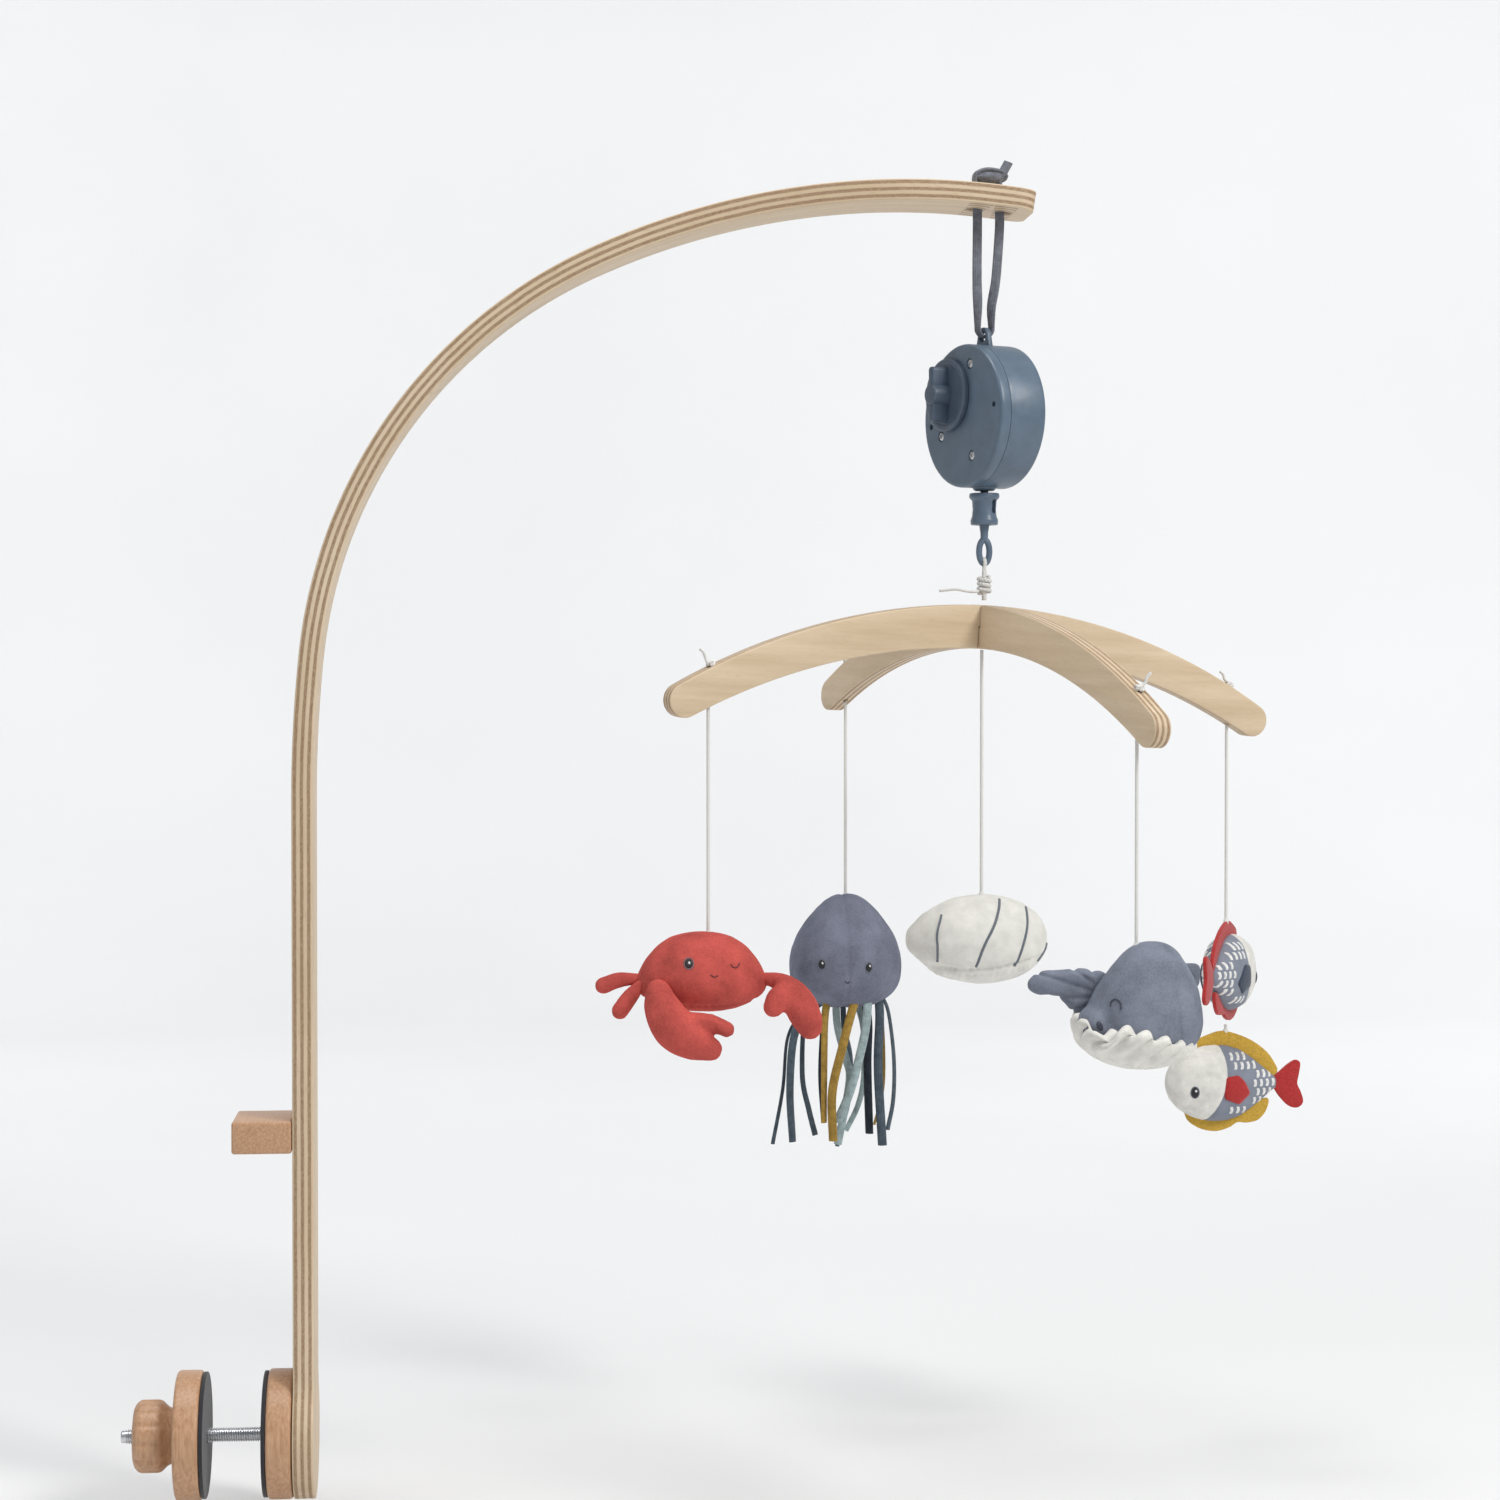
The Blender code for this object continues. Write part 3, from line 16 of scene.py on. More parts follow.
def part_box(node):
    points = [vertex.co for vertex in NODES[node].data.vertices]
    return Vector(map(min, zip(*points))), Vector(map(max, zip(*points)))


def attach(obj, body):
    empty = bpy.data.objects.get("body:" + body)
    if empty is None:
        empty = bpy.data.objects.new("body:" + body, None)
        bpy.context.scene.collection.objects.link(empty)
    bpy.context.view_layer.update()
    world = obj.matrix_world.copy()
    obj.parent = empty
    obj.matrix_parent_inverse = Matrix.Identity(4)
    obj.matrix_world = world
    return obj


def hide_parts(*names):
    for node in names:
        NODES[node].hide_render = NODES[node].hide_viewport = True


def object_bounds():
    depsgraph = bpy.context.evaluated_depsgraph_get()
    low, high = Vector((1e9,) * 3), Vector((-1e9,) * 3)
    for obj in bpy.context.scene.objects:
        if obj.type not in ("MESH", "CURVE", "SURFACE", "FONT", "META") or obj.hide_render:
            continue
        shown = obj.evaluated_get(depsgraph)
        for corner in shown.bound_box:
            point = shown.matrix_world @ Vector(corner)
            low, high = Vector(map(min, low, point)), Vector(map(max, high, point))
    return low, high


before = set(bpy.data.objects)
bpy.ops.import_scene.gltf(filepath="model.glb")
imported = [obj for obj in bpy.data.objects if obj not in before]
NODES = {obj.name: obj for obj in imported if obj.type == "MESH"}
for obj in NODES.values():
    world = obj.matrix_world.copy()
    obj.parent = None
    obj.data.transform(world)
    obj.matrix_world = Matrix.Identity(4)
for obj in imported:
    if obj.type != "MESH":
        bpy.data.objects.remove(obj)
CAD_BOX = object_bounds()

MM = 0.001
UP = Vector((0, 0, 1))
AHEAD = Vector((0, 1, 0))  # the way the camera looks


def string_ends(node):
    """The top and the foot of a string that hangs straight down."""
    low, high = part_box(node)
    x, y, _ = (low + high) / 2
    return Vector((x, y, high.z)), Vector((x, y, low.z))


def turned(degrees, axis):
    return Matrix.Rotation(math.radians(degrees), 4, axis)


UPRIGHT = turned(90, "X")  # stands a flat shape up: its Y turns to Z, and its Z to -Y


def in_mm(points):
    """The same points, given in millimetres."""
    return [tuple(c * MM for c in point) for point in points]


# ---------------------------------------------------------------- materials
class Look:
    """A procedural material, built a node at a time."""

    def __init__(self, name, **constants):
        self.material = bpy.data.materials.new(name)
        self.material.use_nodes = True
        self.tree = self.material.node_tree
        self.shader = self.tree.nodes["Principled BSDF"]
        for socket, value in constants.items():
            self.shader.inputs[socket.replace("_", " ")].default_value = value

    def add(self, kind, inputs=(), **settings):
        node = self.tree.nodes.new(kind)
        for key, value in settings.items():
            setattr(node, key, value)
        for key, value in dict(inputs).items():
            if isinstance(value, bpy.types.NodeSocket):
                self.tree.links.new(value, node.inputs[key])
            else:
                node.inputs[key].default_value = value
        return node

    def here(self):
        return self.add("ShaderNodeTexCoord").outputs["Object"]

    def attribute(self, name):
        return self.add("ShaderNodeAttribute", attribute_name=name).outputs["Vector"]

    def stretched(self, where, scale):
        return self.add("ShaderNodeMapping", {"Vector": where, "Scale": scale}).outputs["Vector"]

    def noise(self, where, scale, detail=3.0, roughness=0.55):
        inputs = {"Vector": where, "Scale": scale, "Detail": detail, "Roughness": roughness}
        return self.add("ShaderNodeTexNoise", inputs).outputs["Fac"]

    def maths(self, operation, *values):
        return self.add("ShaderNodeMath", enumerate(values), operation=operation).outputs[0]

    def part(self, vector, axis):
        return self.add("ShaderNodeSeparateXYZ", {"Vector": vector}).outputs[axis]

    def ramp(self, value, *stops):
        node = self.add("ShaderNodeValToRGB", {"Fac": value})
        elements = node.color_ramp.elements
        while len(elements) < len(stops):
            elements.new(0.5)
        for element, (place, colour) in zip(elements, stops):
            element.position = place
            element.color = (*colour, 1) if len(colour) == 3 else colour
        return node.outputs["Color"]

    def mix(self, share, one, other):
        node = self.add("ShaderNodeMix", data_type="RGBA")
        for socket, value in ((node.inputs[0], share), (node.inputs[6], one), (node.inputs[7], other)):
            if isinstance(value, bpy.types.NodeSocket):
                self.tree.links.new(value, socket)
            else:
                socket.default_value = (*value, 1) if isinstance(value, tuple) else value
        return node.outputs[2]

    def bump(self, height, distance, strength=1.0, under=None):
        inputs = {"Height": height, "Distance": distance, "Strength": strength}
        if under:
            inputs["Normal"] = under
        return self.add("ShaderNodeBump", inputs).outputs["Normal"]

    def finish(self, **links):
        for socket, value in links.items():
            self.tree.links.new(value, self.shader.inputs[socket.replace("_", " ")])
        return self.material


def shade(colour, factor):
    return tuple(min(1.0, c * factor) for c in colour)


def grey(value):
    return (value, value, value)


def make_velour(name, colour, pile=0.25 * MM, sheen=0.35):
    look = Look(name, Roughness=0.95, Specular_IOR_Level=0.15, Sheen_Weight=sheen, Sheen_Roughness=0.35,
                Sheen_Tint=(*shade(colour, 2.2), 1))
    where = look.here()
    brushed = look.noise(where, 55, 3)
    fuzz = look.noise(where, 900, 4, 0.7)
    both = look.maths("ADD", look.maths("MULTIPLY", brushed, 0.6), look.maths("MULTIPLY", fuzz, 0.4))
    tone = look.ramp(both, (0.36, shade(colour, 0.72)), (0.5, colour), (0.66, shade(colour, 1.3)))
    nap = look.bump(look.noise(where, 1500, 3, 0.7), pile, 0.8,
                    look.bump(look.noise(where, 220, 2), 0.3 * MM, 0.5))
    return look.finish(Base_Color=tone, Normal=nap)


def make_cotton(name, colour, other=None):
    """Woven cotton, its threads about 0.6 mm apart. Where the mesh says patch, it is the other colour."""
    look = Look(name, Roughness=0.9, Specular_IOR_Level=0.2, Sheen_Weight=0.15, Sheen_Roughness=0.4)
    where = look.here()
    threads = [look.maths("SINE", look.maths("MULTIPLY", look.part(where, axis), 11000)) for axis in "XYZ"]
    weave = look.maths("MULTIPLY", look.maths("ADD", threads[0], threads[1]), threads[2])
    mottle = look.noise(where, 130, 4, 0.6)
    tone = look.ramp(mottle, (0.3, shade(colour, 0.86)), (0.6, colour), (0.8, shade(colour, 1.08)))
    if other:
        second = look.ramp(mottle, (0.3, shade(other, 0.8)), (0.6, other), (0.8, shade(other, 1.15)))
        side = look.add("ShaderNodeAttribute", attribute_name="patch").outputs["Fac"]
        tone = look.mix(look.ramp(side, (0.47, grey(0.0)), (0.53, grey(1.0))), tone, second)
    creases = look.bump(look.noise(where, 300, 3), 0.25 * MM, 0.6)
    return look.finish(Base_Color=tone, Normal=look.bump(weave, 0.06 * MM, 0.5, creases))


def make_felt(name, colour):
    look = Look(name, Roughness=1.0, Specular_IOR_Level=0.1, Sheen_Weight=0.3, Sheen_Roughness=0.5)
    where = look.here()
    fibres = look.noise(where, 1100, 5, 0.75)
    tone = look.ramp(fibres, (0.3, shade(colour, 0.7)), (0.5, colour), (0.7, shade(colour, 1.25)))
    return look.finish(Base_Color=tone, Normal=look.bump(fibres, 0.25 * MM, 0.7))


def make_knit(name, colour, ribs=6500):
    """Knitted or braided strip: fine ribs that run along it, from the strip's own coordinates."""
    look = Look(name, Roughness=0.9, Specular_IOR_Level=0.15, Sheen_Weight=0.2, Sheen_Roughness=0.4)
    run = look.attribute("run")
    rib = look.maths("SINE", look.maths("MULTIPLY", look.part(run, "Y"), ribs))
    stitch = look.maths("SINE", look.maths("MULTIPLY", look.part(run, "X"), 4500))
    cloth = look.maths("ADD", rib, look.maths("MULTIPLY", stitch, 0.5))
    mottle = look.noise(look.here(), 260, 4, 0.65)
    tone = look.ramp(mottle, (0.3, shade(colour, 0.7)), (0.52, colour), (0.75, shade(colour, 1.35)))
    return look.finish(Base_Color=tone, Normal=look.bump(cloth, 0.12 * MM, 0.7))


def make_thread(name, colour):
    """Satin embroidery: shiny threads side by side."""
    look = Look(name, Roughness=0.45, Specular_IOR_Level=0.4, Sheen_Weight=0.1)
    where = look.here()
    strands = look.maths("SINE", look.maths("MULTIPLY", look.part(where, "X"), 14000))
    tone = look.ramp(look.noise(where, 1500, 2), (0.35, shade(colour, 0.75)), (0.65, shade(colour, 1.2)))
    return look.finish(Base_Color=tone, Normal=look.bump(strands, 0.08 * MM, 0.6))


def make_string(name, colour):
    look = Look(name, Roughness=0.85, Specular_IOR_Level=0.2, Sheen_Weight=0.2)
    run = look.attribute("run")
    fibres = look.noise(look.stretched(run, (1200, 2600, 2600)), 1.0, 4, 0.7)
    tone = look.ramp(fibres, (0.3, shade(colour, 0.8)), (0.6, colour))
    return look.finish(Base_Color=tone, Normal=look.bump(fibres, 0.12 * MM, 0.6))


def make_ply(name):
    """Birch plywood from a mesh's wood coordinates: along the grain, across it, and through the plies."""
    look = Look(name, Specular_IOR_Level=0.35, Coat_Weight=0.06, Coat_Roughness=0.35)
    wood = look.attribute("wood")
    face = look.ramp(
        look.noise(look.stretched(wood, (9, 120, 30)), 1.0, 5, 0.6),
        (0.3, (0.55, 0.42, 0.275)), (0.5, (0.62, 0.485, 0.33)), (0.72, (0.69, 0.56, 0.40)),
    )
    flecks = look.noise(look.stretched(wood, (160, 1500, 900)), 1.0, 2)
    face = look.mix(look.ramp(flecks, (0.6, grey(0.0)), (0.74, grey(0.35))), face, (0.42, 0.27, 0.15))
    depth = look.maths("ADD", look.part(wood, "Z"), look.maths("MULTIPLY", look.noise(wood, 60, 2), 0.0004))
    wave = look.maths("ABSOLUTE", look.maths("SINE", look.maths("MULTIPLY", depth, math.pi * 3 / PLY)))
    end_grain = look.noise(look.stretched(wood, (500, 500, 2500)), 1.0, 3, 0.7)
    band = look.ramp(wave, (0.60, grey(0.0)), (0.86, grey(1.0)))
    strength = look.maths("MULTIPLY", band, look.ramp(end_grain, (0.3, grey(0.45)), (0.62, grey(0.95))))
    tone = look.mix(strength, face, (0.25, 0.15, 0.08))
    rough = look.ramp(flecks, (0.3, grey(0.42)), (0.7, grey(0.6)))
    relief = look.bump(look.noise(look.stretched(wood, (60, 1800, 1800)), 1.0, 3), 0.08 * MM, 0.5)
    return look.finish(Base_Color=tone, Roughness=rough, Normal=relief)


def make_beech(name, stretch):
    """Lacquered beech; the stretch is small along the grain."""
    look = Look(name, Specular_IOR_Level=0.4, Coat_Weight=0.1, Coat_Roughness=0.3)
    where = look.here()
    rings = look.noise(look.stretched(where, stretch), 1.0, 4, 0.6)
    tone = look.ramp(rings, (0.3, (0.40, 0.215, 0.115)), (0.5, (0.50, 0.29, 0.165)),
                     (0.72, (0.58, 0.36, 0.22)))
    flecks = look.noise(look.stretched(where, tuple(9 * s for s in stretch)), 1.0, 2)
    tone = look.mix(look.ramp(flecks, (0.6, grey(0.0)), (0.72, grey(0.5))), tone, (0.30, 0.15, 0.07))
    rough = look.ramp(rings, (0.3, grey(0.38)), (0.7, grey(0.52)))
    return look.finish(Base_Color=tone, Roughness=rough, Normal=look.bump(flecks, 0.06 * MM, 0.5))


def make_plastic(name, colour, low=0.3, high=0.45):
    look = Look(name, Specular_IOR_Level=0.5)
    where = look.here()
    cloud = look.noise(where, 120, 3)
    grain = look.noise(where, 2200, 2)
    tone = look.ramp(cloud, (0.3, shade(colour, 0.9)), (0.7, shade(colour, 1.1)))
    rough = look.ramp(cloud, (0.3, grey(low)), (0.7, grey(high)))
    return look.finish(Base_Color=tone, Roughness=rough, Normal=look.bump(grain, 0.02 * MM, 0.35))


def make_metal(name, colour):
    look = Look(name, Metallic=1.0)
    where = look.here()
    brushed = look.noise(look.stretched(where, (150, 900, 900)), 1.0, 3)
    tone = look.ramp(brushed, (0.3, shade(colour, 0.85)), (0.7, shade(colour, 1.1)))
    rough = look.ramp(brushed, (0.3, grey(0.2)), (0.7, grey(0.4)))
    return look.finish(Base_Color=tone, Roughness=rough)


PLY = 11 * MM
CORAL = (0.47, 0.082, 0.068)
BLUE_GREY = (0.16, 0.172, 0.225)
WHALE_BLUE = (0.185, 0.205, 0.255)
LOOKS = {
    "ply": make_ply("birch ply"),
    "beech_side": make_beech("beech, grain across", (900, 60, 900)),
    "beech_up": make_beech("beech, grain upright", (700, 700, 55)),
    "plastic": make_plastic("slate plastic", (0.102, 0.146, 0.2)),
    # painted shade: black for the output shaft, standing in for the dark gap under the case
    "shaft_painted_shade": make_plastic("shaft painted shade black", (0.02, 0.022, 0.026)),
    "cup": make_plastic("slate plastic cup", (0.11, 0.155, 0.215)),
    "dial": make_plastic("slate plastic dial", (0.075, 0.105, 0.15), 0.35, 0.5),
    "steel": make_metal("steel", (0.62, 0.63, 0.65)),
    "brass": make_metal("brass", (0.72, 0.52, 0.25)),
    "pad": make_felt("clamp felt", (0.035, 0.035, 0.04)),
    "strap": make_knit("woven strap", (0.17, 0.18, 0.21), 5200),
    "string": make_string("white string", (0.80, 0.79, 0.76)),
    "coral": make_velour("coral velour", CORAL),
    "blue_grey": make_velour("blue grey velour", BLUE_GREY, sheen=0.3),
    "whale": make_velour("whale velour", WHALE_BLUE, 0.2 * MM, 0.25),
    "slate": make_knit("slate jersey", (0.075, 0.10, 0.125)),
    "dark_slate": make_knit("dark slate jersey", (0.035, 0.045, 0.06)),
    "mint": make_knit("mint jersey", (0.34, 0.43, 0.44)),
    "mustard": make_knit("mustard jersey", (0.36, 0.225, 0.05)),
    "cream": make_cotton("cream cotton", (0.76, 0.75, 0.70)),
    "fish": make_cotton("fish cotton", (0.235, 0.26, 0.315), other=(0.78, 0.77, 0.72)),
    "red_felt": make_felt("red felt", (0.42, 0.035, 0.035)),
    "mustard_felt": make_felt("mustard felt", (0.55, 0.34, 0.055)),
    "slate_felt": make_felt("slate felt", (0.05, 0.065, 0.095)),
    "black_thread": make_thread("black thread", (0.012, 0.012, 0.016)),
    "white_thread": make_thread("white thread", (0.80, 0.80, 0.78)),
    "grey_thread": make_thread("grey thread", (0.14, 0.16, 0.19)),
    "dark_red_thread": make_thread("dark red thread", (0.16, 0.025, 0.03)),
    "dark_blue_thread": make_thread("dark blue thread", (0.045, 0.05, 0.075)),
}


# ---------------------------------------------------------------- meshes
def new_piece(name, mesh, look, body, replaces=(), sharp=50.0):
    """A finished piece: smooth shaded, with its material, riding on its body."""
    piece = bpy.data.objects.new(name, mesh)
    bpy.context.scene.collection.objects.link(piece)
    mesh.materials.clear()
    mesh.materials.append(LOOKS[look])
    mesh.shade_smooth()
    if sharp:
        mesh.set_sharp_from_angle(angle=math.radians(sharp))
    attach(piece, body)
    if replaces:
        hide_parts(*replaces)
    return piece


def mesh_from(made):
    """A mesh from a bmesh, with its faces pointing out."""
    bmesh.ops.recalc_face_normals(made, faces=made.faces)
    if made.calc_volume(signed=True) < 0:
        bmesh.ops.reverse_faces(made, faces=made.faces)
    mesh = bpy.data.meshes.new("mesh")
    made.to_mesh(mesh)
    made.free()
    return mesh


def rounded(outline, radius, steps=4, closed=False):
    """The same outline of (x, y) points with each corner turned into a short arc."""
    points = [Vector(p) for p in outline]
    count = len(points)
    made = []
    for k, corner in enumerate(points):
        if not closed and k in (0, count - 1):
            made.append(corner)
            continue
        before, after = points[k - 1], points[(k + 1) % count]
        start = corner.lerp(before, min(0.45, radius / max((before - corner).length, 1e-9)))
        end = corner.lerp(after, min(0.45, radius / max((after - corner).length, 1e-9)))
        for j in range(steps + 1):
            t = j / steps
            made.append(start.lerp(corner, t).lerp(corner.lerp(end, t), t))
    return [tuple(p) for p in made]


def lathe(profile, place=None, steps=96):
    """A profile of (radius, height) turned about local Z; a ring unless it starts and ends on the axis."""
    made = bmesh.new()
    rows = []
    for radius, height in profile:
        if radius < 1e-9:
            rows.append([made.verts.new((0, 0, height))])
            continue
        angles = [2 * math.pi * k / steps for k in range(steps)]
        rows.append([made.verts.new((radius * math.cos(a), radius * math.sin(a), height)) for a in angles])
    pairs = list(zip(rows, rows[1:]))
    if len(rows[0]) > 1:
        pairs.append((rows[-1], rows[0]))
    for low, high in pairs:
        for k in range(steps):
            after = (k + 1) % steps
            corners = [low[k % len(low)], low[after % len(low)], high[after % len(high)], high[k % len(high)]]
            kept = [v for i, v in enumerate(corners) if v not in corners[:i]]
            if len(kept) > 2:
                made.faces.new(kept)
    if place is not None:
        made.transform(place)
    return made


def slab(outline, low, high, place=None, soften=0.0, segments=3):
    """An outline of (x, y) points, extruded along local Z, with softened edges."""
    made = bmesh.new()
    face = made.faces.new([made.verts.new((x, y, low)) for x, y in outline])
    top = bmesh.ops.extrude_face_region(made, geom=[face])
    moved = [v for v in top["geom"] if isinstance(v, bmesh.types.BMVert)]
    bmesh.ops.translate(made, verts=moved, vec=(0, 0, high - low))
    bmesh.ops.recalc_face_normals(made, faces=made.faces)
    if soften:
        rim = [e for e in made.edges if len(e.link_faces) == 2 and e.calc_face_angle(0) > 1.0]
        bmesh.ops.bevel(made, geom=rim, offset=soften, segments=segments, affect="EDGES", profile=0.5)
    if place is not None:
        made.transform(place)
    return made


def oblong(width, height):
    """An outline of (x, y) points in metres, from a size in millimetres."""
    x, y = width / 2 * MM, height / 2 * MM
    return [(-x, -y), (x, -y), (x, y), (-x, y)]


def smooth_route(knots, spacing):
    """Points a set distance apart on a smooth curve through the knots; extra numbers are carried along."""
    knots = np.array([tuple(k) for k in knots], float)
    knots = np.vstack([2 * knots[0] - knots[1], knots, 2 * knots[-1] - knots[-2]])
    t = np.linspace(0, 1, 24, endpoint=False)[:, None]
    fine = [
        0.5 * (2 * p1 + (p2 - p0) * t + (2 * p0 - 5 * p1 + 4 * p2 - p3) * t**2
               + (3 * p1 - p0 - 3 * p2 + p3) * t**3)
        for p0, p1, p2, p3 in zip(knots, knots[1:], knots[2:], knots[3:])
    ]
    fine = np.vstack([*fine, knots[-2]])
    travelled = np.append(0, np.cumsum(np.linalg.norm(np.diff(fine[:, :3], axis=0), axis=1)))
    count = max(2, round(travelled[-1] / spacing))
    at = np.linspace(0, travelled[-1], count + 1)
    return np.column_stack([np.interp(at, travelled, column) for column in fine.T])


def skinned(rings, attribute, values):
    """A skin through rings of points, closed at both ends, with a value for each point for its material."""
    size = len(rings[0])
    last = (len(rings) - 1) * size
    faces = [
        (k + j, k + (j + 1) % size, k + size + (j + 1) % size, k + size + j)
        for k in range(0, last, size) for j in range(size)
    ]
    faces += [tuple(range(size))[::-1], tuple(range(last, last + size))]
    mesh = bpy.data.meshes.new("skin")
    mesh.from_pydata([point for ring in rings for point in ring], [], faces)
    store(mesh, attribute, values)
    made = bmesh.new()
    made.from_mesh(mesh)
    bmesh.ops.recalc_face_normals(made, faces=made.faces)
    made.to_mesh(mesh)
    made.free()
    return mesh


def swept(route, section, side, twist=0.0):
    """A closed section of (across, through) points carried along a route, turning by twist radians a metre.

    The side is where across points, once at the start or as a list with one for each point. The mesh carries
    its own coordinates, run: along, across and through, in metres.
    """
    points = [Vector(p[:3]) for p in route]
    count = len(points)
    rings, run, travelled = [], [], 0.0
    sides = side if isinstance(side, list) else None
    across = Vector(sides[0] if sides else side)
    for k, point in enumerate(points):
        across = sides[k] if sides else across
        along = (points[min(k + 1, count - 1)] - points[max(k - 1, 0)]).normalized()
        across = (across - along * across.dot(along)).normalized()
        through = along.cross(across)
        travelled += (point - points[k - 1]).length if k else 0.0
        a = twist * travelled
        u, v = across * math.cos(a) + through * math.sin(a), through * math.cos(a) - across * math.sin(a)
        rings.append([point + (u * x + v * y) for x, y in section])
        run += [(travelled, x, y) for x, y in section]
    return skinned(rings, "run", run)


def store(mesh, name, values):
    """Keeps a vector or a number for each of the mesh's points, for its material."""
    values = np.array(values, np.float32)
    kind, key = ("FLOAT_VECTOR", "vector") if values.ndim == 2 else ("FLOAT", "value")
    mesh.attributes.new(name, kind, "POINT").data.foreach_set(key, values.ravel())


def points_of(mesh):
    flat = np.empty(len(mesh.vertices) * 3)
    mesh.vertices.foreach_get("co", flat)
    return flat.reshape(-1, 3)


def set_points(mesh, points):
    mesh.vertices.foreach_set("co", np.ascontiguousarray(points, float).ravel())
    mesh.update()


def normals_of(mesh):
    flat = np.empty(len(mesh.vertices) * 3)
    mesh.vertex_normals.foreach_get("vector", flat)
    return flat.reshape(-1, 3)


def apply_modifiers(piece):
    evaluated = piece.evaluated_get(bpy.context.evaluated_depsgraph_get())
    mesh = bpy.data.meshes.new_from_object(evaluated)
    piece.modifiers.clear()
    piece.data = mesh


def temporary(mesh):
    piece = bpy.data.objects.new("temporary", mesh)
    bpy.context.scene.collection.objects.link(piece)
    return piece


def modified(mesh, kind, **settings):
    """The mesh with one modifier applied."""
    piece = temporary(mesh)
    modifier = piece.modifiers.new("once", kind)
    for key, value in settings.items():
        setattr(modifier, key, value)
    apply_modifiers(piece)
    mesh = piece.data
    bpy.data.objects.remove(piece)
    return mesh


def carved(mesh, tool):
    """The mesh without the space that the tool, a bmesh, takes up."""
    cutter = temporary(mesh_from(tool))
    mesh = modified(mesh, "BOOLEAN", operation="DIFFERENCE", solver="EXACT", object=cutter)
    bpy.data.objects.remove(cutter)
    return mesh


def drilled(mesh, *holes):
    """The mesh with round holes, each from a start to an end with a radius."""
    for start, end, radius in holes:
        along = Vector(end) - Vector(start)
        place = Matrix.Translation(start) @ along.to_track_quat("Z", "Y").to_matrix().to_4x4()
        rod = [(0, 0), (radius, 0), (radius, along.length), (0, along.length)]
        mesh = carved(mesh, lathe(rod, place, 40))
    return mesh


def joined(*meshes):
    """Several meshes as one."""
    made = bmesh.new()
    for mesh in meshes:
        made.from_mesh(mesh)
    mesh = bpy.data.meshes.new("joined")
    made.to_mesh(mesh)
    made.free()
    return mesh


# ---------------------------------------------------------------- plywood mast and cross
MAST_WIDTH = 45 * MM
MAST_FACE_X = 16.2 * MM
STRAIGHT_TOP_Z = 184.5 * MM
ARCH = ((738 * MM, 6.0), (266 * MM, 59.0), (412 * MM, 34.0))  # radius and degrees of each bend, going up
TIP_ROUND = 9 * MM
PADDLE_Z = -152 * MM
PADDLE_RADIUS = 34 * MM
PADDLE_FILLET = 20 * MM
STRAP_HOLES_X = (380 * MM, 395.5 * MM)
STRAP_HOLE_RADIUS = 4.7 * MM
AXIS_X = 385.5 * MM
ARM_Z = 503 * MM


def outer_edge(distance):
    """Place and heading (radians from +X) of the mast's outer edge, measured from the straight's top."""
    x, z, heading = MAST_FACE_X, STRAIGHT_TOP_Z, math.pi / 2
    if distance <= 0:
        return x, z + distance, heading
    for radius, degrees in ARCH:
        step = min(distance, radius * math.radians(degrees))
        centre_x, centre_z = x + radius * math.sin(heading), z - radius * math.cos(heading)
        heading -= step / radius
        x, z = centre_x - radius * math.sin(heading), centre_z + radius * math.cos(heading)
        distance -= step
        if distance < 1e-9:
            break
    return x, z, heading


def mast_sections():
    """(distance, half width) along the mast: round paddle, its fillet, the bent strip and its rounded tip."""
    half = MAST_WIDTH / 2
    fillet_y = half + PADDLE_FILLET
    fillet_z = math.sqrt((PADDLE_RADIUS + PADDLE_FILLET) ** 2 - fillet_y**2)
    meet = math.atan2(fillet_z, fillet_y)
    start = math.radians(-89)
    sections = []
    for k in range(41):
        a = start + (meet - start) * k / 40
        sections.append((PADDLE_Z + PADDLE_RADIUS * math.sin(a), PADDLE_RADIUS * math.cos(a)))
    for k in range(1, 13):
        a = meet * (1 - k / 12)
        z = PADDLE_Z + fillet_z - PADDLE_FILLET * math.sin(a)
        sections.append((z, fillet_y - PADDLE_FILLET * math.cos(a)))
    sections = [(z - STRAIGHT_TOP_Z, w) for z, w in sections]
    length = sum(radius * math.radians(degrees) for radius, degrees in ARCH)
    straight = -sections[-1][0]
    sections += [(-straight * (1 - k / 12), half) for k in range(1, 12)]
    count = 130
    sections += [((length - TIP_ROUND) * k / count, half) for k in range(count)]
    for k in range(13):
        a = math.radians(88 * k / 12)
        sections.append((length - TIP_ROUND * (1 - math.sin(a)), half - TIP_ROUND * (1 - math.cos(a))))
    return sections


def make_mast():
    ease = 0.9 * MM
    rings, wood = [], []
    for distance, half in mast_sections():
        x, z, heading = outer_edge(distance)
        inward = Vector((math.sin(heading), 0, -math.cos(heading)))
        soft = min(ease, half * 0.4)
        ring = rounded([(-half, 0), (-half, PLY), (half, PLY), (half, 0)], soft, 3, closed=True)
        rings.append([Vector((x, y, z)) + inward * depth for y, depth in ring])
        wood += [(distance, y, depth) for y, depth in ring]
    beyond = 40 * MM
    holes = [((x, 0, ARM_Z - beyond), (x, 0, ARM_Z + beyond), STRAP_HOLE_RADIUS) for x in STRAP_HOLES_X]
    mesh = drilled(skinned(rings, "wood", wood), *holes)
    new_piece("mast_ply", mesh, "ply", "root", ["mast"], 30)


CROSS_TURN = 19.7  # degrees from +X to the long bar
CROSS_LEAN = (1.9, 2.76)  # degrees, along the long bar and along the short bar
BAR_RADIUS = 360.5 * MM
BAR_END = 29.0  # degrees of arc from a bar's middle to its end
BAR_THICK = 9.5 * MM
BAR_HALF_DEPTHS = (11.85 * MM, 9.0 * MM)  # at the middle and at the ends
CROSS_TOP_Z = 288.5 * MM
STRING_PITCH = 160 * MM  # from the cross's middle to each outer string


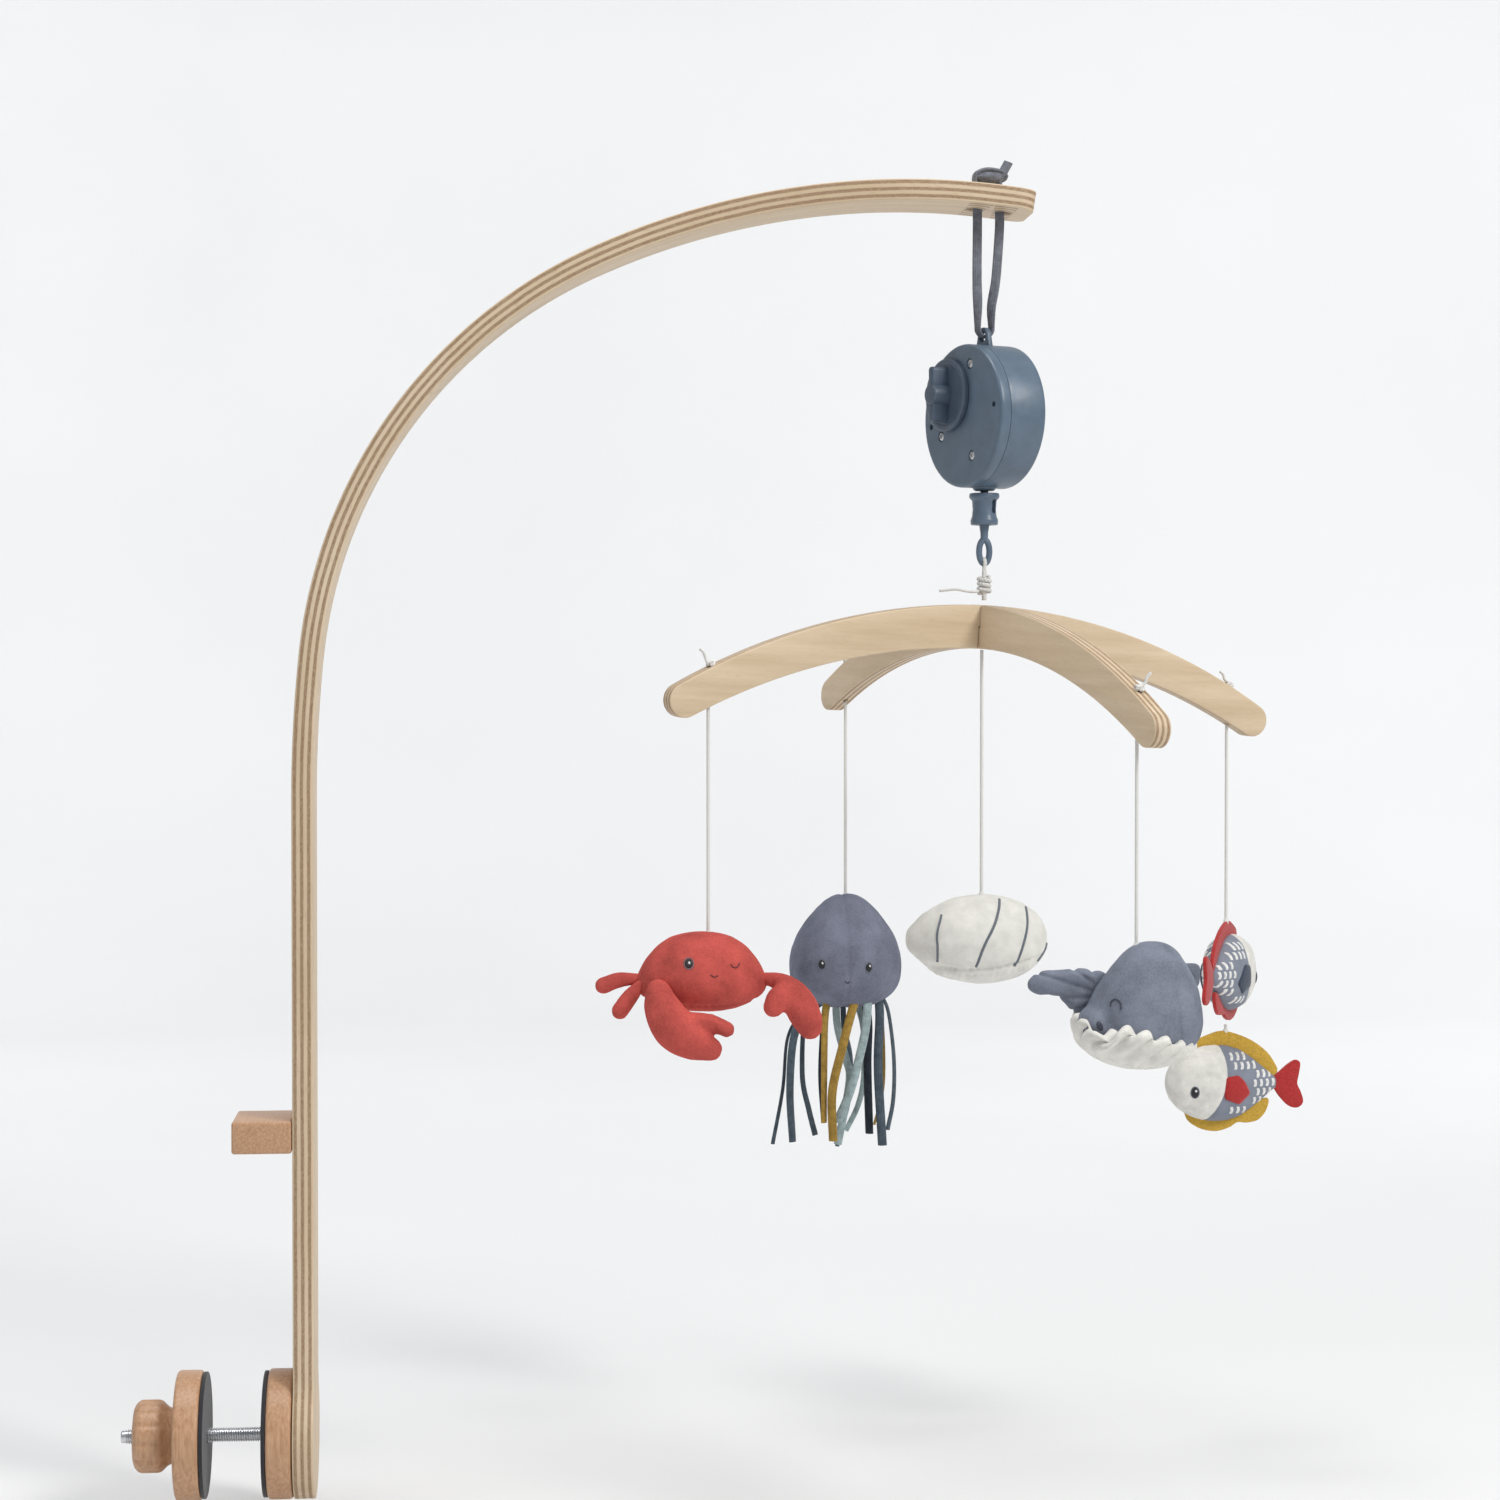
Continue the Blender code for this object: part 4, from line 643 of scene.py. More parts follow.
def cross_place():
    turn = math.radians(CROSS_TURN)
    long_way = Vector((math.cos(turn), math.sin(turn), 0))
    short_way = Vector((math.sin(turn), -math.cos(turn), 0))
    falls = [math.tan(math.radians(degrees)) for degrees in CROSS_LEAN]
    slope = long_way * falls[0] + short_way * falls[1]
    lean = Matrix.Rotation(math.atan(slope.length), 4, UP.cross(slope.normalized()))
    return Matrix.Translation((AXIS_X, 0, CROSS_TOP_Z)) @ lean @ Matrix.Rotation(turn, 4, "Z")


def bar_outline(notch_from_top):
    middle, end = BAR_HALF_DEPTHS

    def station(degrees, side):
        a = math.radians(degrees)
        half = middle + (end - middle) * abs(degrees) / BAR_END
        r = BAR_RADIUS + side * half
        return r * math.sin(a), r * math.cos(a) - BAR_RADIUS - middle

    def tip(side):
        a = math.radians(BAR_END * side)
        centre = Vector((BAR_RADIUS * math.sin(a), BAR_RADIUS * math.cos(a) - BAR_RADIUS - middle))
        for k in range(1, 24):
            b = math.radians(90 - BAR_END * side - 180 * side * k / 24)
            yield centre.x + end * math.cos(b), centre.y + end * math.sin(b)

    steps = 44
    notch = BAR_THICK / 2 + 0.15 * MM
    top = [station(BAR_END * k / steps, 1) for k in range(-steps, steps + 1) if abs(k) > 1]
    bottom = [station(BAR_END * k / steps, -1) for k in range(steps, -steps - 1, -1) if abs(k) > 1]
    mouth, floor = (0, -middle - 0.15 * MM) if notch_from_top else (-2 * middle, -middle + 0.15 * MM)
    slot = [(-notch, mouth), (-notch, floor), (notch, floor), (notch, mouth)]
    half_way = steps - 1
    if notch_from_top:
        top[half_way:half_way] = slot
    else:
        bottom[half_way:half_way] = slot[::-1]
    return top + list(tip(1)) + bottom + list(tip(-1))[::-1]


def make_cross():
    share = PLY / BAR_THICK  # the thinner bar shows as many layers as the mast
    for name, turn, from_top in (("long_bar", 0, False), ("short_bar", -90, True)):
        along = cross_place() @ turned(turn, "Z")
        mesh = mesh_from(slab(bar_outline(from_top), -BAR_THICK / 2, BAR_THICK / 2, UPRIGHT, 0.8 * MM))
        holes = [((x, 0, 20 * MM), (x, 0, -90 * MM), 1.6 * MM) for x in (-STRING_PITCH, STRING_PITCH)]
        mesh = drilled(mesh, ((0, 0, 20 * MM), (0, 0, -40 * MM), 1.8 * MM), *holes)
        local = points_of(mesh)  # adding the turn gives each bar its own stretch of grain
        wood = np.column_stack([local[:, 0] + turn, local[:, 2], (local[:, 1] + BAR_THICK / 2) * share])
        store(mesh, "wood", wood)
        mesh.transform(along)
        new_piece(f"{name}_ply", mesh, "ply", "cross", [name], 35)


# ---------------------------------------------------------------- rail block and clamp
TOWARDS_TIP = turned(90, "Y")
TOWARDS_RAIL = turned(-90, "Y")
BOLT_HOLE = 4.2 * MM


def make_rail_block():
    low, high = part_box("rail_block")
    made = bmesh.new()
    bmesh.ops.create_cube(made, size=1)
    bmesh.ops.scale(made, verts=made.verts, vec=high - low)
    bmesh.ops.translate(made, verts=made.verts, vec=(low + high) / 2)
    bmesh.ops.bevel(made, geom=made.edges[:], offset=1.5 * MM, segments=5, affect="EDGES", profile=0.5)
    new_piece("rail_block_wood", mesh_from(made), "beech_side", "root", ["rail_block"], 40)


def ring_profile(hole, radius, thick, edge):
    """A flat disc with a hole, its outer corners rounded."""
    corners = [(hole, 0), (radius, 0), (radius, thick), (hole, thick)]
    return [corners[0], *rounded(corners, edge, 6)[1:-1], corners[-1]]


def make_discs():
    """The two clamp discs and the pads glued to them."""
    for part, look, slot, edge in (("disc_wood", "beech_up", "beech", 2.2), ("pad_felt", "pad", "felt", 0.5)):
        for end, body in (("inner", "root"), ("outer", "outer_jaw")):
            node = f"{end}_{part.split('_')[0]}"
            low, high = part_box(node)
            start, turn = (low.x, TOWARDS_TIP) if end == "inner" else (high.x, TOWARDS_RAIL)
            place = Matrix.Translation((start, 0, PADDLE_Z)) @ turn
            profile = ring_profile(BOLT_HOLE, (high.z - low.z) / 2, high.x - low.x, edge * MM)
            new_piece(f"{end}_{part}", mesh_from(lathe(profile, place)), look, body, [node], 40)


def make_knob():
    low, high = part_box("clamp_knob")
    length, radius = high.x - low.x, (high.z - low.z) / 2
    place = Matrix.Translation((high.x, 0, PADDLE_Z)) @ TOWARDS_RAIL
    knob = [
        (6.3 * MM, 0), (radius - 5 * MM, 0), (radius - 4 * MM, 4 * MM), (radius, 8 * MM),
        (radius, length - 3 * MM), (radius - 3 * MM, length), (BOLT_HOLE, length), (BOLT_HOLE, 12.3 * MM),
        (6.3 * MM, 12.3 * MM),
    ]
    body = lathe([knob[0], *rounded(knob, 1.8 * MM, 5)[1:-1], knob[-1]], None, 120)
    for v in body.verts:  # twelve shallow finger flutes round the grip
        r, h = Vector((v.co.x, v.co.y)).length, v.co.z
        if r > radius - 4 * MM and h > 5 * MM:
            a = math.atan2(v.co.y, v.co.x)
            dip = 0.9 * MM * max(0, math.cos(12 * a)) ** 2 * min(1, (h - 5 * MM) / (3 * MM))
            v.co.xy *= (r - dip) / r
    body.transform(place)
    new_piece("clamp_knob_wood", mesh_from(body), "beech_up", "knob", ["clamp_knob"], 40)


def make_bolt():
    low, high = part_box("clamp_bolt")
    head, radius, pitch = 5 * MM, 3.85 * MM, 1.25 * MM
    length = high.x - low.x
    place = Matrix.Translation((high.x, 0, PADDLE_Z)) @ TOWARDS_RAIL
    cap = mesh_from(lathe(rounded([(0, 0), (6.5 * MM, 0), (6.5 * MM, head), (radius, head),
                                   (radius, head + 2 * MM),
                                   (0, head + 2 * MM)], 0.8 * MM), place, 48))
    turns, steps = int((length - head - 2 * MM) / pitch), 20
    thread = bmesh.new()
    rows = []
    for k in range(turns * steps + 1):
        a = 2 * math.pi * k / steps
        z = head + 1 * MM + pitch * k / steps
        taper = min(1.0, (turns * steps - k) / (2 * steps))
        row = []
        for rise, shift in ((-0.75, 0.0), (0.0, 0.38), (0.0, 0.5), (-0.75, 0.88)):
            r = radius + (rise * MM if rise else -0.7 * MM * (1 - taper))
            row.append(thread.verts.new((r * math.cos(a), r * math.sin(a), z + shift * pitch)))
        rows.append(row)
    for low_row, high_row in zip(rows, rows[1:]):
        for j in range(3):
            thread.faces.new((low_row[j], low_row[j + 1], high_row[j + 1], high_row[j]))
        thread.faces.new((low_row[3], low_row[0], high_row[0], high_row[3]))
    thread.faces.new(rows[0])
    thread.faces.new(rows[-1])
    thread.transform(place)
    core = mesh_from(lathe(rounded([(0, head), (radius - 0.62 * MM, head),
                                    (radius - 0.62 * MM, length), (0, length)],
                                   0.8 * MM), place, 40))
    new_piece("clamp_bolt_steel", joined(cap, core, mesh_from(thread)), "steel", "root",
              ["clamp_bolt"], 30)


# ---------------------------------------------------------------- music box
BOX_Z = 389.8 * MM
BOX_HEADING = math.radians(203.4)  # the way its front looks, from +X
BOX_RADIUS = 38.4 * MM
BOX_DEPTH = 28.7 * MM
SEAM_DEPTH = 8 * MM
LUG_HEIGHT = 43.1 * MM
LUG_THICK = 3 * MM
WINDER = (-12.4 * MM, 12.0 * MM)  # places on the case's front, across and up from its middle
DIAL_RADIUS = 19.7 * MM
SCREWS = ((7.5 * MM, 27.2 * MM), (-20.9 * MM, -9.6 * MM), (9.5 * MM, -21.9 * MM))
SOUND_HOLES = ((31 * MM, 3.7 * MM), (-31 * MM, -3.7 * MM))
WINDER_WAY = Vector((math.cos(BOX_HEADING), math.sin(BOX_HEADING), 0))
ACROSS = UP.cross(WINDER_WAY)
BOX_PLACE = Matrix.Translation((AXIS_X, 0, BOX_Z)) @ Matrix((ACROSS, UP, WINDER_WAY)).transposed().to_4x4()


def in_box(x=0.0, y=0.0, z=0.0):
    return BOX_PLACE @ Matrix.Translation((x, y, z))


def spot(x, y, z):
    return in_box(x, y, z).translation


def make_case():
    front, back, wall, soft = BOX_DEPTH / 2, -BOX_DEPTH / 2, 2 * MM, 2.2 * MM
    outer, inner = BOX_RADIUS, BOX_RADIUS - wall
    seam = SEAM_DEPTH + 0.1 * MM
    cover = [(0, front), (outer, front), (outer, seam), (inner, seam), (inner, front - wall),
             (0, front - wall)]
    cover = [cover[0], *rounded(cover[:3], soft, 8)[1:-1],
             *rounded(cover[1:4], 0.25 * MM, 2)[1:-1], *cover[3:]]
    holes = [(spot(x, y, front - 4 * MM), spot(x, y, front + 4 * MM), 1.6 * MM) for x,
             y in (*SCREWS, *SOUND_HOLES)]
    holes += [(spot(x, y, front - 1.2 * MM), spot(x, y, front + 4 * MM), 2.9 * MM) for x, y in SCREWS]
    holes.append((spot(*WINDER, front - 4 * MM), spot(*WINDER, front + 4 * MM), 3 * MM))
    mesh = drilled(mesh_from(lathe(cover, BOX_PLACE, 144)), *holes)
    new_piece("case_front", mesh, "plastic", "music_box", ["case_cover"], 35)

    rim = seam - 0.2 * MM
    tub = [(0, back), (outer, back), (outer, rim), (inner, rim), (inner, back + wall), (0, back + wall)]
    tub = [tub[0], *rounded(tub[:3], soft, 8)[1:-1], *rounded(tub[1:4], 0.25 * MM, 2)[1:-1], *tub[3:]]
    half = 5 * MM
    arc = [(half * math.cos(math.pi * k / 20), LUG_HEIGHT + half * math.sin(math.pi * k / 20))
           for k in range(21)]
    lug = [(-half - 1.6 * MM, BOX_RADIUS - 1.5 * MM), (half + 1.6 * MM, BOX_RADIUS - 1.5 * MM), *arc]
    lug = mesh_from(slab(lug, -LUG_THICK / 2, LUG_THICK / 2, BOX_PLACE, 0.7 * MM))
    eye = spot(0, LUG_HEIGHT, 0)
    lug = drilled(lug, (eye - WINDER_WAY * 8 * MM, eye + WINDER_WAY * 8 * MM, 3.1 * MM))
    neck = in_mm(((2.6, 0), (6.4, 0), (6.4, 2.4), (5.2, 3.7), (2.6, 3.7)))
    neck = mesh_from(lathe(rounded(neck, 0.5 * MM), in_box(y=-BOX_RADIUS + 2.3 * MM) @ UPRIGHT, 48))
    posts = []
    for x, y in SCREWS:
        top = front - wall - 0.3 * MM
        posts.append(mesh_from(lathe([(1.6 * MM, back + wall / 2), (3 * MM, back + wall / 2), (3 * MM, top),
                                      (1.6 * MM, top)], in_box(x, y), 24)))
    shell = drilled(mesh_from(lathe(tub, BOX_PLACE, 144)),
                    (spot(0, -30 * MM, 0), spot(0, -50 * MM, 0), 2.6 * MM))
    new_piece("case_back", joined(shell, lug, neck, *posts), "plastic", "music_box",
              ["case_tub"], 35)

    for index, (x, y) in enumerate(SCREWS, 1):
        base = front - 0.9 * MM
        head = in_mm(((0, 1.25), (1.4, 1.15), (2.3, 0.6), (2.4, 0), (1.25, -0.2), (1.25, -11), (0, -11.6)))
        mesh = mesh_from(lathe(rounded(head, 0.2 * MM, 3), in_box(x, y, base), 40))
        for turn in (25, 115):
            place = in_box(x, y, base) @ turned(turn + 10 * index, "Z")
            mesh = carved(mesh, slab(oblong(3.0, 0.56), 0.55 * MM, 3 * MM, place))
        new_piece(f"screw_{index}", mesh, "steel", "music_box", [f"case_screw_{index}"], 30)


def make_key():
    face = BOX_DEPTH / 2 + 0.3 * MM
    r = DIAL_RADIUS
    dial = [(0, face), (r, face), (r, face + 2.6 * MM), (r - 1.2 * MM, face + 3 * MM),
            (r - 3 * MM, face + 3 * MM),
            (r - 3.6 * MM, face + 2.4 * MM), (0, face + 2.4 * MM)]
    dial = mesh_from(lathe([dial[0], *rounded(dial, 0.45 * MM, 4)[1:-1], dial[-1]], in_box(*WINDER), 120))
    half, waist, end = 2.6 * MM, 2.2 * MM, 15 * MM
    top, low = face + 12 * MM, face + 1.5 * MM
    wing = rounded([(-half, -end), (half, -end), (waist, 0), (half, end), (-half, end), (-waist, 0)],
                   2.4 * MM, 6, True)
    wing = mesh_from(slab(wing, low, top, in_box(*WINDER), 1.3 * MM, 4))
    hub = rounded([(0, top + 0.8 * MM), (5.5 * MM, top + 0.8 * MM), (5.9 * MM, low), (0, low)], 1.6 * MM, 6)
    hub = mesh_from(lathe(hub, in_box(*WINDER), 48))
    new_piece("key", joined(dial, wing, hub), "dial", "winder", ["winding_key"], 40)


def make_swivel():
    low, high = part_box("swivel_cup")
    height = high.z - low.z
    down = Matrix.Translation((AXIS_X, 0, high.z)) @ turned(180, "X")
    cup = [
        *in_mm(((2.6, 0), (8.0, 0), (8.2, 2.4), (6.6, 4.0), (6.3, 9.0), (6.6, 12.4), (7.5, 14.6))),
        (7.3 * MM, height), (4.4 * MM, height), *in_mm(((4.2, 7.2), (2.6, 6.4))),
    ]
    mesh = mesh_from(lathe(rounded(cup, 0.7 * MM, 4), down, 72))
    out = Vector((0.72, -0.69, 0)).to_track_quat("Z", "Y").to_matrix().to_4x4()
    place = Matrix.Translation((AXIS_X, 0, high.z - 7.2 * MM)) @ out
    mesh = carved(mesh, slab(rounded(oblong(3.2, 7.6), 1.2 * MM, 4, True), 0, 12 * MM, place))
    new_piece("cup", mesh, "cup", "swivel", ["swivel_cup"], 35)

    low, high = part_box("eye_link")
    wire = 1.7 * MM
    eye_top = low.z + 16.2 * MM
    half_height = (eye_top - low.z) / 2 - wire
    middle = (eye_top + low.z) / 2
    ring = []
    for k in range(64):
        a = 2 * math.pi * k / 64
        ring.append((AXIS_X + 2.8 * MM * math.sin(a), 0, middle - half_height * math.cos(a)))
    ring = closed_tube(ring, wire)
    stem = [(0, eye_top - 2.4 * MM), (2.0 * MM, eye_top - 2.2 * MM), (2.1 * MM, eye_top + 2 * MM),
            (2.7 * MM, eye_top + 6 * MM), (2.7 * MM, high.z - 4 * MM), (2.9 * MM, high.z), (0, high.z)]
    stem = mesh_from(lathe(rounded(stem, 0.5 * MM, 4), Matrix.Translation((AXIS_X, 0, 0)), 40))
    new_piece("eye", joined(ring, stem), "cup", "eye", ["eye_link"], 40)


def closed_tube(points, radius):
    """A round wire through a closed loop of points in the XZ plane."""
    sides = 16
    made = bmesh.new()
    rows, count = [], len(points)
    points = [Vector(p) for p in points]
    for k, point in enumerate(points):
        side = (points[(k + 1) % count] - points[k - 1]).normalized().cross(AHEAD)
        angles = [2 * math.pi * j / sides for j in range(sides)]
        rows.append([made.verts.new(point + (side * math.cos(a) + AHEAD * math.sin(a)) * radius)
                     for a in angles])
    for low, high in [*zip(rows, rows[1:]), (rows[-1], rows[0])]:
        for j in range(sides):
            made.faces.new((low[j], low[(j + 1) % sides], high[(j + 1) % sides], high[j]))
    return mesh_from(made)


def dress_movement():
    """The movement inside the case keeps its CAD shapes and gets metal finishes, and the output shaft a black
    painted shade for the dark gap between the case and the cup.
    """
    metals = {
        # the output shaft is painted black as shade in the gap between the case and the cup
        "movement_plate": "steel", "tone_comb": "steel", "output_shaft": "shaft_painted_shade",
        "spring_barrel": "brass",
        "pin_cylinder": "brass", "governor": "brass", "drive_wheel": "brass", "knob_insert": "brass",
        "block_dowel_front": "beech_side", "block_dowel_back": "beech_side",
    }
    for node, look in metals.items():
        mesh = NODES[node].data
        mesh.materials.clear()
        mesh.materials.append(LOOKS[look])


# ---------------------------------------------------------------- strap, strings and knots
STRAP_TOPS_X = (381.5 * MM, 393.5 * MM)


def oval(across, through, sides=16, power=2.6):
    """A flat strip's section: an oval with full sides."""
    points = []
    for k in range(sides):
        a = 2 * math.pi * k / sides
        c, s = math.cos(a), math.sin(a)
        points.append((across / 2 * math.copysign(abs(c) ** (2 / power), c),
                       through / 2 * math.copysign(abs(s) ** (2 / power), s)))
    return points


def strands(radius):
    """A twisted string's section: three strands side by side."""
    lobes, sides = 3, 18
    points = []
    for k in range(sides):
        a = 2 * math.pi * k / sides
        r = radius * (0.8 + 0.2 * abs(math.cos(lobes * a / 2)))
        points.append((r * math.cos(a), r * math.sin(a)))
    return points


def string_mesh(route, radius):
    twist = 1500  # radians a metre
    return swept(route, strands(radius), Vector((0.3, 1, 0.2)), twist)


def make_strap():
    hinge = ARM_Z - 0.6 * MM
    lug_z = BOX_Z + LUG_HEIGHT
    bend = LUG_THICK / 2 + 2.9 * MM  # half the width of the turn under the lug
    left, right = STRAP_TOPS_X

    def leg(x, side):
        """From the hole in the arm down towards the lug."""
        foot = Vector((AXIS_X, 0, lug_z + bend)) - WINDER_WAY * bend * side
        way = 0.5 * MM * side
        return [
            Vector((x, 0, hinge)), Vector((x, 0, hinge - 12 * MM)),
            Vector((x + way, 0, 0)).lerp(Vector((foot.x, foot.y, 0)), 0.5)
            + UP * (lug_z + 0.45 * (hinge - lug_z)),
            foot + UP * 12 * MM,
        ]

    turn = []
    for k in range(9):
        a = math.pi * k / 8
        turn.append(Vector((AXIS_X, 0, lug_z + bend))
                    + WINDER_WAY * bend * math.cos(a) - UP * bend * math.sin(a))
    route = smooth_route([*leg(left, -1), *turn, *leg(right, 1)[::-1]], 1.2 * MM)
    sides = []
    for p in route:
        turn_share = min(1.0, max(0.0, 1 - (p[2] - lug_z - 5 * MM) / (24 * MM)))
        sides.append(Vector((1, 0.12, 0)).lerp(ACROSS, turn_share))
    mesh = swept(route, oval(5.2 * MM, 2.0 * MM, 20), sides)
    strap = new_piece("strap_tape", mesh, "strap", "strap", ["strap_loop"], 60)

    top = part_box("strap_knot")[0].z + 13.2 * MM
    over = [
        (left - 0.4 * MM, 0, ARM_Z + 4 * MM), (left - 1.5 * MM, 0, top + 1.5 * MM),
        (left + 1 * MM, 0, top + 4.5 * MM),
        (left + 6 * MM, -0.5 * MM, top + 5.6 * MM), (right + 0.5 * MM, -0.5 * MM, top + 4.5 * MM),
        (right + 3 * MM, 0, top + 2.2 * MM), (right - 1 * MM, 1 * MM, top + 1 * MM),
    ]
    under = [
        (right, 0, ARM_Z + 4 * MM), (right - 0.5 * MM, -1 * MM, top + 2.0 * MM),
        (right - 5 * MM, -3 * MM, top + 2.4 * MM),
        (left + 1 * MM, -2.5 * MM, top + 2 * MM), (left + 2 * MM, 2.5 * MM, top + 2.6 * MM),
        (right - 2 * MM, 3 * MM, top + 3 * MM),
    ]
    tail = [
        (right - 3.5 * MM, -2.5 * MM, top + 1.2 * MM), (right + 0.6 * MM, -3 * MM, top + 3.2 * MM),
        (right + 2.5 * MM, -2.6 * MM, top + 6 * MM), (right + 4.5 * MM, -2.4 * MM, top + 9.6 * MM),
    ]
    tapes = [
        swept(smooth_route(over, 0.8 * MM), oval(8.6 * MM, 2.6 * MM), (0, 1, 0)),
        swept(smooth_route(under, 0.8 * MM), oval(5.6 * MM, 2.6 * MM), (0, 0.4, 1)),
        swept(smooth_route(tail, 0.8 * MM), oval(5.4 * MM, 2.2 * MM), (1, -0.6, -0.4)),
    ]
    core = tight_ball(Vector(((left + right) / 2 + 1 * MM, -0.3 * MM, top + 1.6 * MM)),
                      Vector((9.5, 5.4, 3.6)) * MM)
    new_piece("strap_tie", joined(*tapes, core), "strap", "root", ["strap_knot"], 60)


STRINGS = {  # node: the body that the string rides on, and the toy that it is sewn to
    "crab_string": ("crab_line", "crab"), "jellyfish_string": ("jellyfish_line", "jellyfish"),
    "shell_string": ("shell_line", "shell"), "whale_string": ("whale_line", "whale"),
    "fish_string": ("fish_line", "upper_fish"), "fish_link_string": ("fish_link", "lower_fish"),
}
STRING_RADIUS = 1.0 * MM


def knot_route(centre, size, tail, turn=0.0):
    """An overhand knot's loop about the vertical, with one end as a tail."""
    knots = []
    for k in range(25):
        a = 2 * math.pi * k / 12 + turn
        r = size * (1.0 + 0.35 * math.cos(1.5 * a))
        knots.append(centre + Vector((r * math.cos(a), r * math.sin(a), size * 0.75 * math.sin(1.5 * a))))
    return [*knots, *(centre + Vector(t) * MM for t in tail)]


def make_strings():
    for node, (body, _) in STRINGS.items():
        top, foot = string_ends(node)
        length = top.z - foot.z
        count = max(6, round(length / (0.7 * MM)))
        route = [tuple(top.lerp(foot, k / count)) for k in range(count + 1)]
        piece = new_piece(f"{node}_twist", string_mesh(route, STRING_RADIUS), "string", body,
                          [node], 0)

    for node, (_, body) in STRINGS.items():
        foot = string_ends(node)[1]
        stitch = tight_ball(foot - UP * 0.8 * MM, Vector((1.5, 1.2, 2.4)) * MM)
        new_piece(f"{body}_stitch", stitch, "string", body, (), 0)

    place = cross_place()
    middle, end = BAR_HALF_DEPTHS
    degrees = math.degrees(math.asin(STRING_PITCH / (BAR_RADIUS + end)))
    r = BAR_RADIUS + middle + (end - middle) * degrees / BAR_END
    on_bar = Vector((STRING_PITCH, 0, r * math.cos(math.radians(degrees)) - BAR_RADIUS - middle + 1.6 * MM))
    ends = ((180, 1), (90, 1), (-90, -1), (0,
                                           1))  # each bar's end as a turn, and the way its knot's tail points
    for index, (turn, way) in enumerate(ends, 1):
        centre = place @ turned(turn, "Z") @ on_bar
        tail = ((-2.5 * way, -1, 2.5), (-3.5 * way, -1.2, 5.5), (-5.5 * way, -1.4, 7.5))
        route = smooth_route(knot_route(centre, 1.5 * MM, tail, turn), 0.5 * MM)
        knot = joined(string_mesh(route, 0.85 * MM), tight_ball(centre, Vector((1.9, 1.9, 1.6)) * MM))
        new_piece(f"bar_knot_{index}", knot, "string", "cross", (), 0)


def tight_ball(centre, radii):
    """The filled middle of a knot."""
    made = bmesh.new()
    bmesh.ops.create_icosphere(made, subdivisions=3, radius=1)
    made.transform(Matrix.Translation(centre) @ Matrix.Diagonal((*radii, 1)))
    mesh = mesh_from(made)
    store(mesh, "run", points_of(mesh))
    return mesh


def make_hanging_cord():
    wire_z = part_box("eye_link")[0].z + 1.5 * MM
    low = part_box("hanging_cord")[0]
    knot = Vector((AXIS_X, 0, low.z + 5 * MM))
    bend = 2.6 * MM
    loop = [knot + Vector((0.4, -1.3, 2)) * MM, knot + Vector((-0.6, -1.9, 6)) * MM]
    for k in range(9):
        a = math.pi * k / 8
        loop.append(Vector((AXIS_X, -bend * math.cos(a), wire_z + bend * math.sin(a))))
    loop += [knot + Vector((0.6, 1.9, 6)) * MM, knot + Vector((-0.4, 1.3, 2)) * MM]
    wrap = []
    for k in range(40):
        a = 2 * math.pi * k / 11
        r = (2.2 + 1.0 * abs(math.sin(math.pi * k / 39)) + 0.5 * math.cos(2.3 * a)) * MM
        wrap.append(knot + Vector((r * math.cos(a), r * math.sin(a), (4.6 - 9.0 * k / 39) * MM)))
    tail = [knot + Vector(p) * MM for p in ((-2, -1.5, -2.5), (-5, -3, -3.6), (-10, -4, -3.4),
                                            (-16, -4.5, -2.4), (-25, -4, -3.2))]
    down = [knot + Vector((0, 0, z)) * MM for z in (-2, -5, -8)]
    pieces = [string_mesh(smooth_route(points, 0.5 * MM), r) for points, r in
              ((loop, 1.1 * MM), (wrap, 1.15 * MM), (tail, 0.8 * MM), (down, 1.4 * MM))]
    core = tight_ball(knot, Vector((2.6, 2.6, 5)) * MM)
    new_piece("hanging_knot", joined(*pieces, core), "string", "cross", ["hanging_cord"], 0)


# ---------------------------------------------------------------- plush
def ball(centre, radii, turn=None):
    made = bmesh.new()
    bmesh.ops.create_icosphere(made, subdivisions=4, radius=1)
    place = Matrix.Translation(centre) @ (turn or Matrix.Identity(4)) @ Matrix.Diagonal((*radii, 1))
    made.transform(place)
    return mesh_from(made)


def limb(foot, knots, flat=1.0):
    """Overlapping balls along knots of (x, y, z, radius) in millimetres from the string's foot."""
    made = bmesh.new()
    for x, y, z, r in smooth_route(knots, 1.5):
        place = Matrix.Translation(foot + Vector((x, y, z)) * MM)
        bmesh.ops.create_icosphere(made, subdivisions=3, radius=1,
                                   matrix=place @ Matrix.Diagonal((r * MM, r * MM * flat, r * MM, 1)))
    return mesh_from(made)


def relax(mesh, rounds):
    """Evens out the surface: each point moves towards its neighbours' middle, then a little further back."""
    share = 0.5
    points = points_of(mesh)
    edges = np.empty(len(mesh.edges) * 2, int)
    mesh.edges.foreach_get("vertices", edges)
    a, b = edges.reshape(-1, 2).T
    count = np.bincount(edges, minlength=len(points))[:, None]
    for _ in range(rounds):
        for pull in (share, -share * 1.04):
            total = np.zeros_like(points)
            np.add.at(total, a, points[b])
            np.add.at(total, b, points[a])
            points = points + (total / count - points) * pull
    set_points(mesh, points)
    return mesh


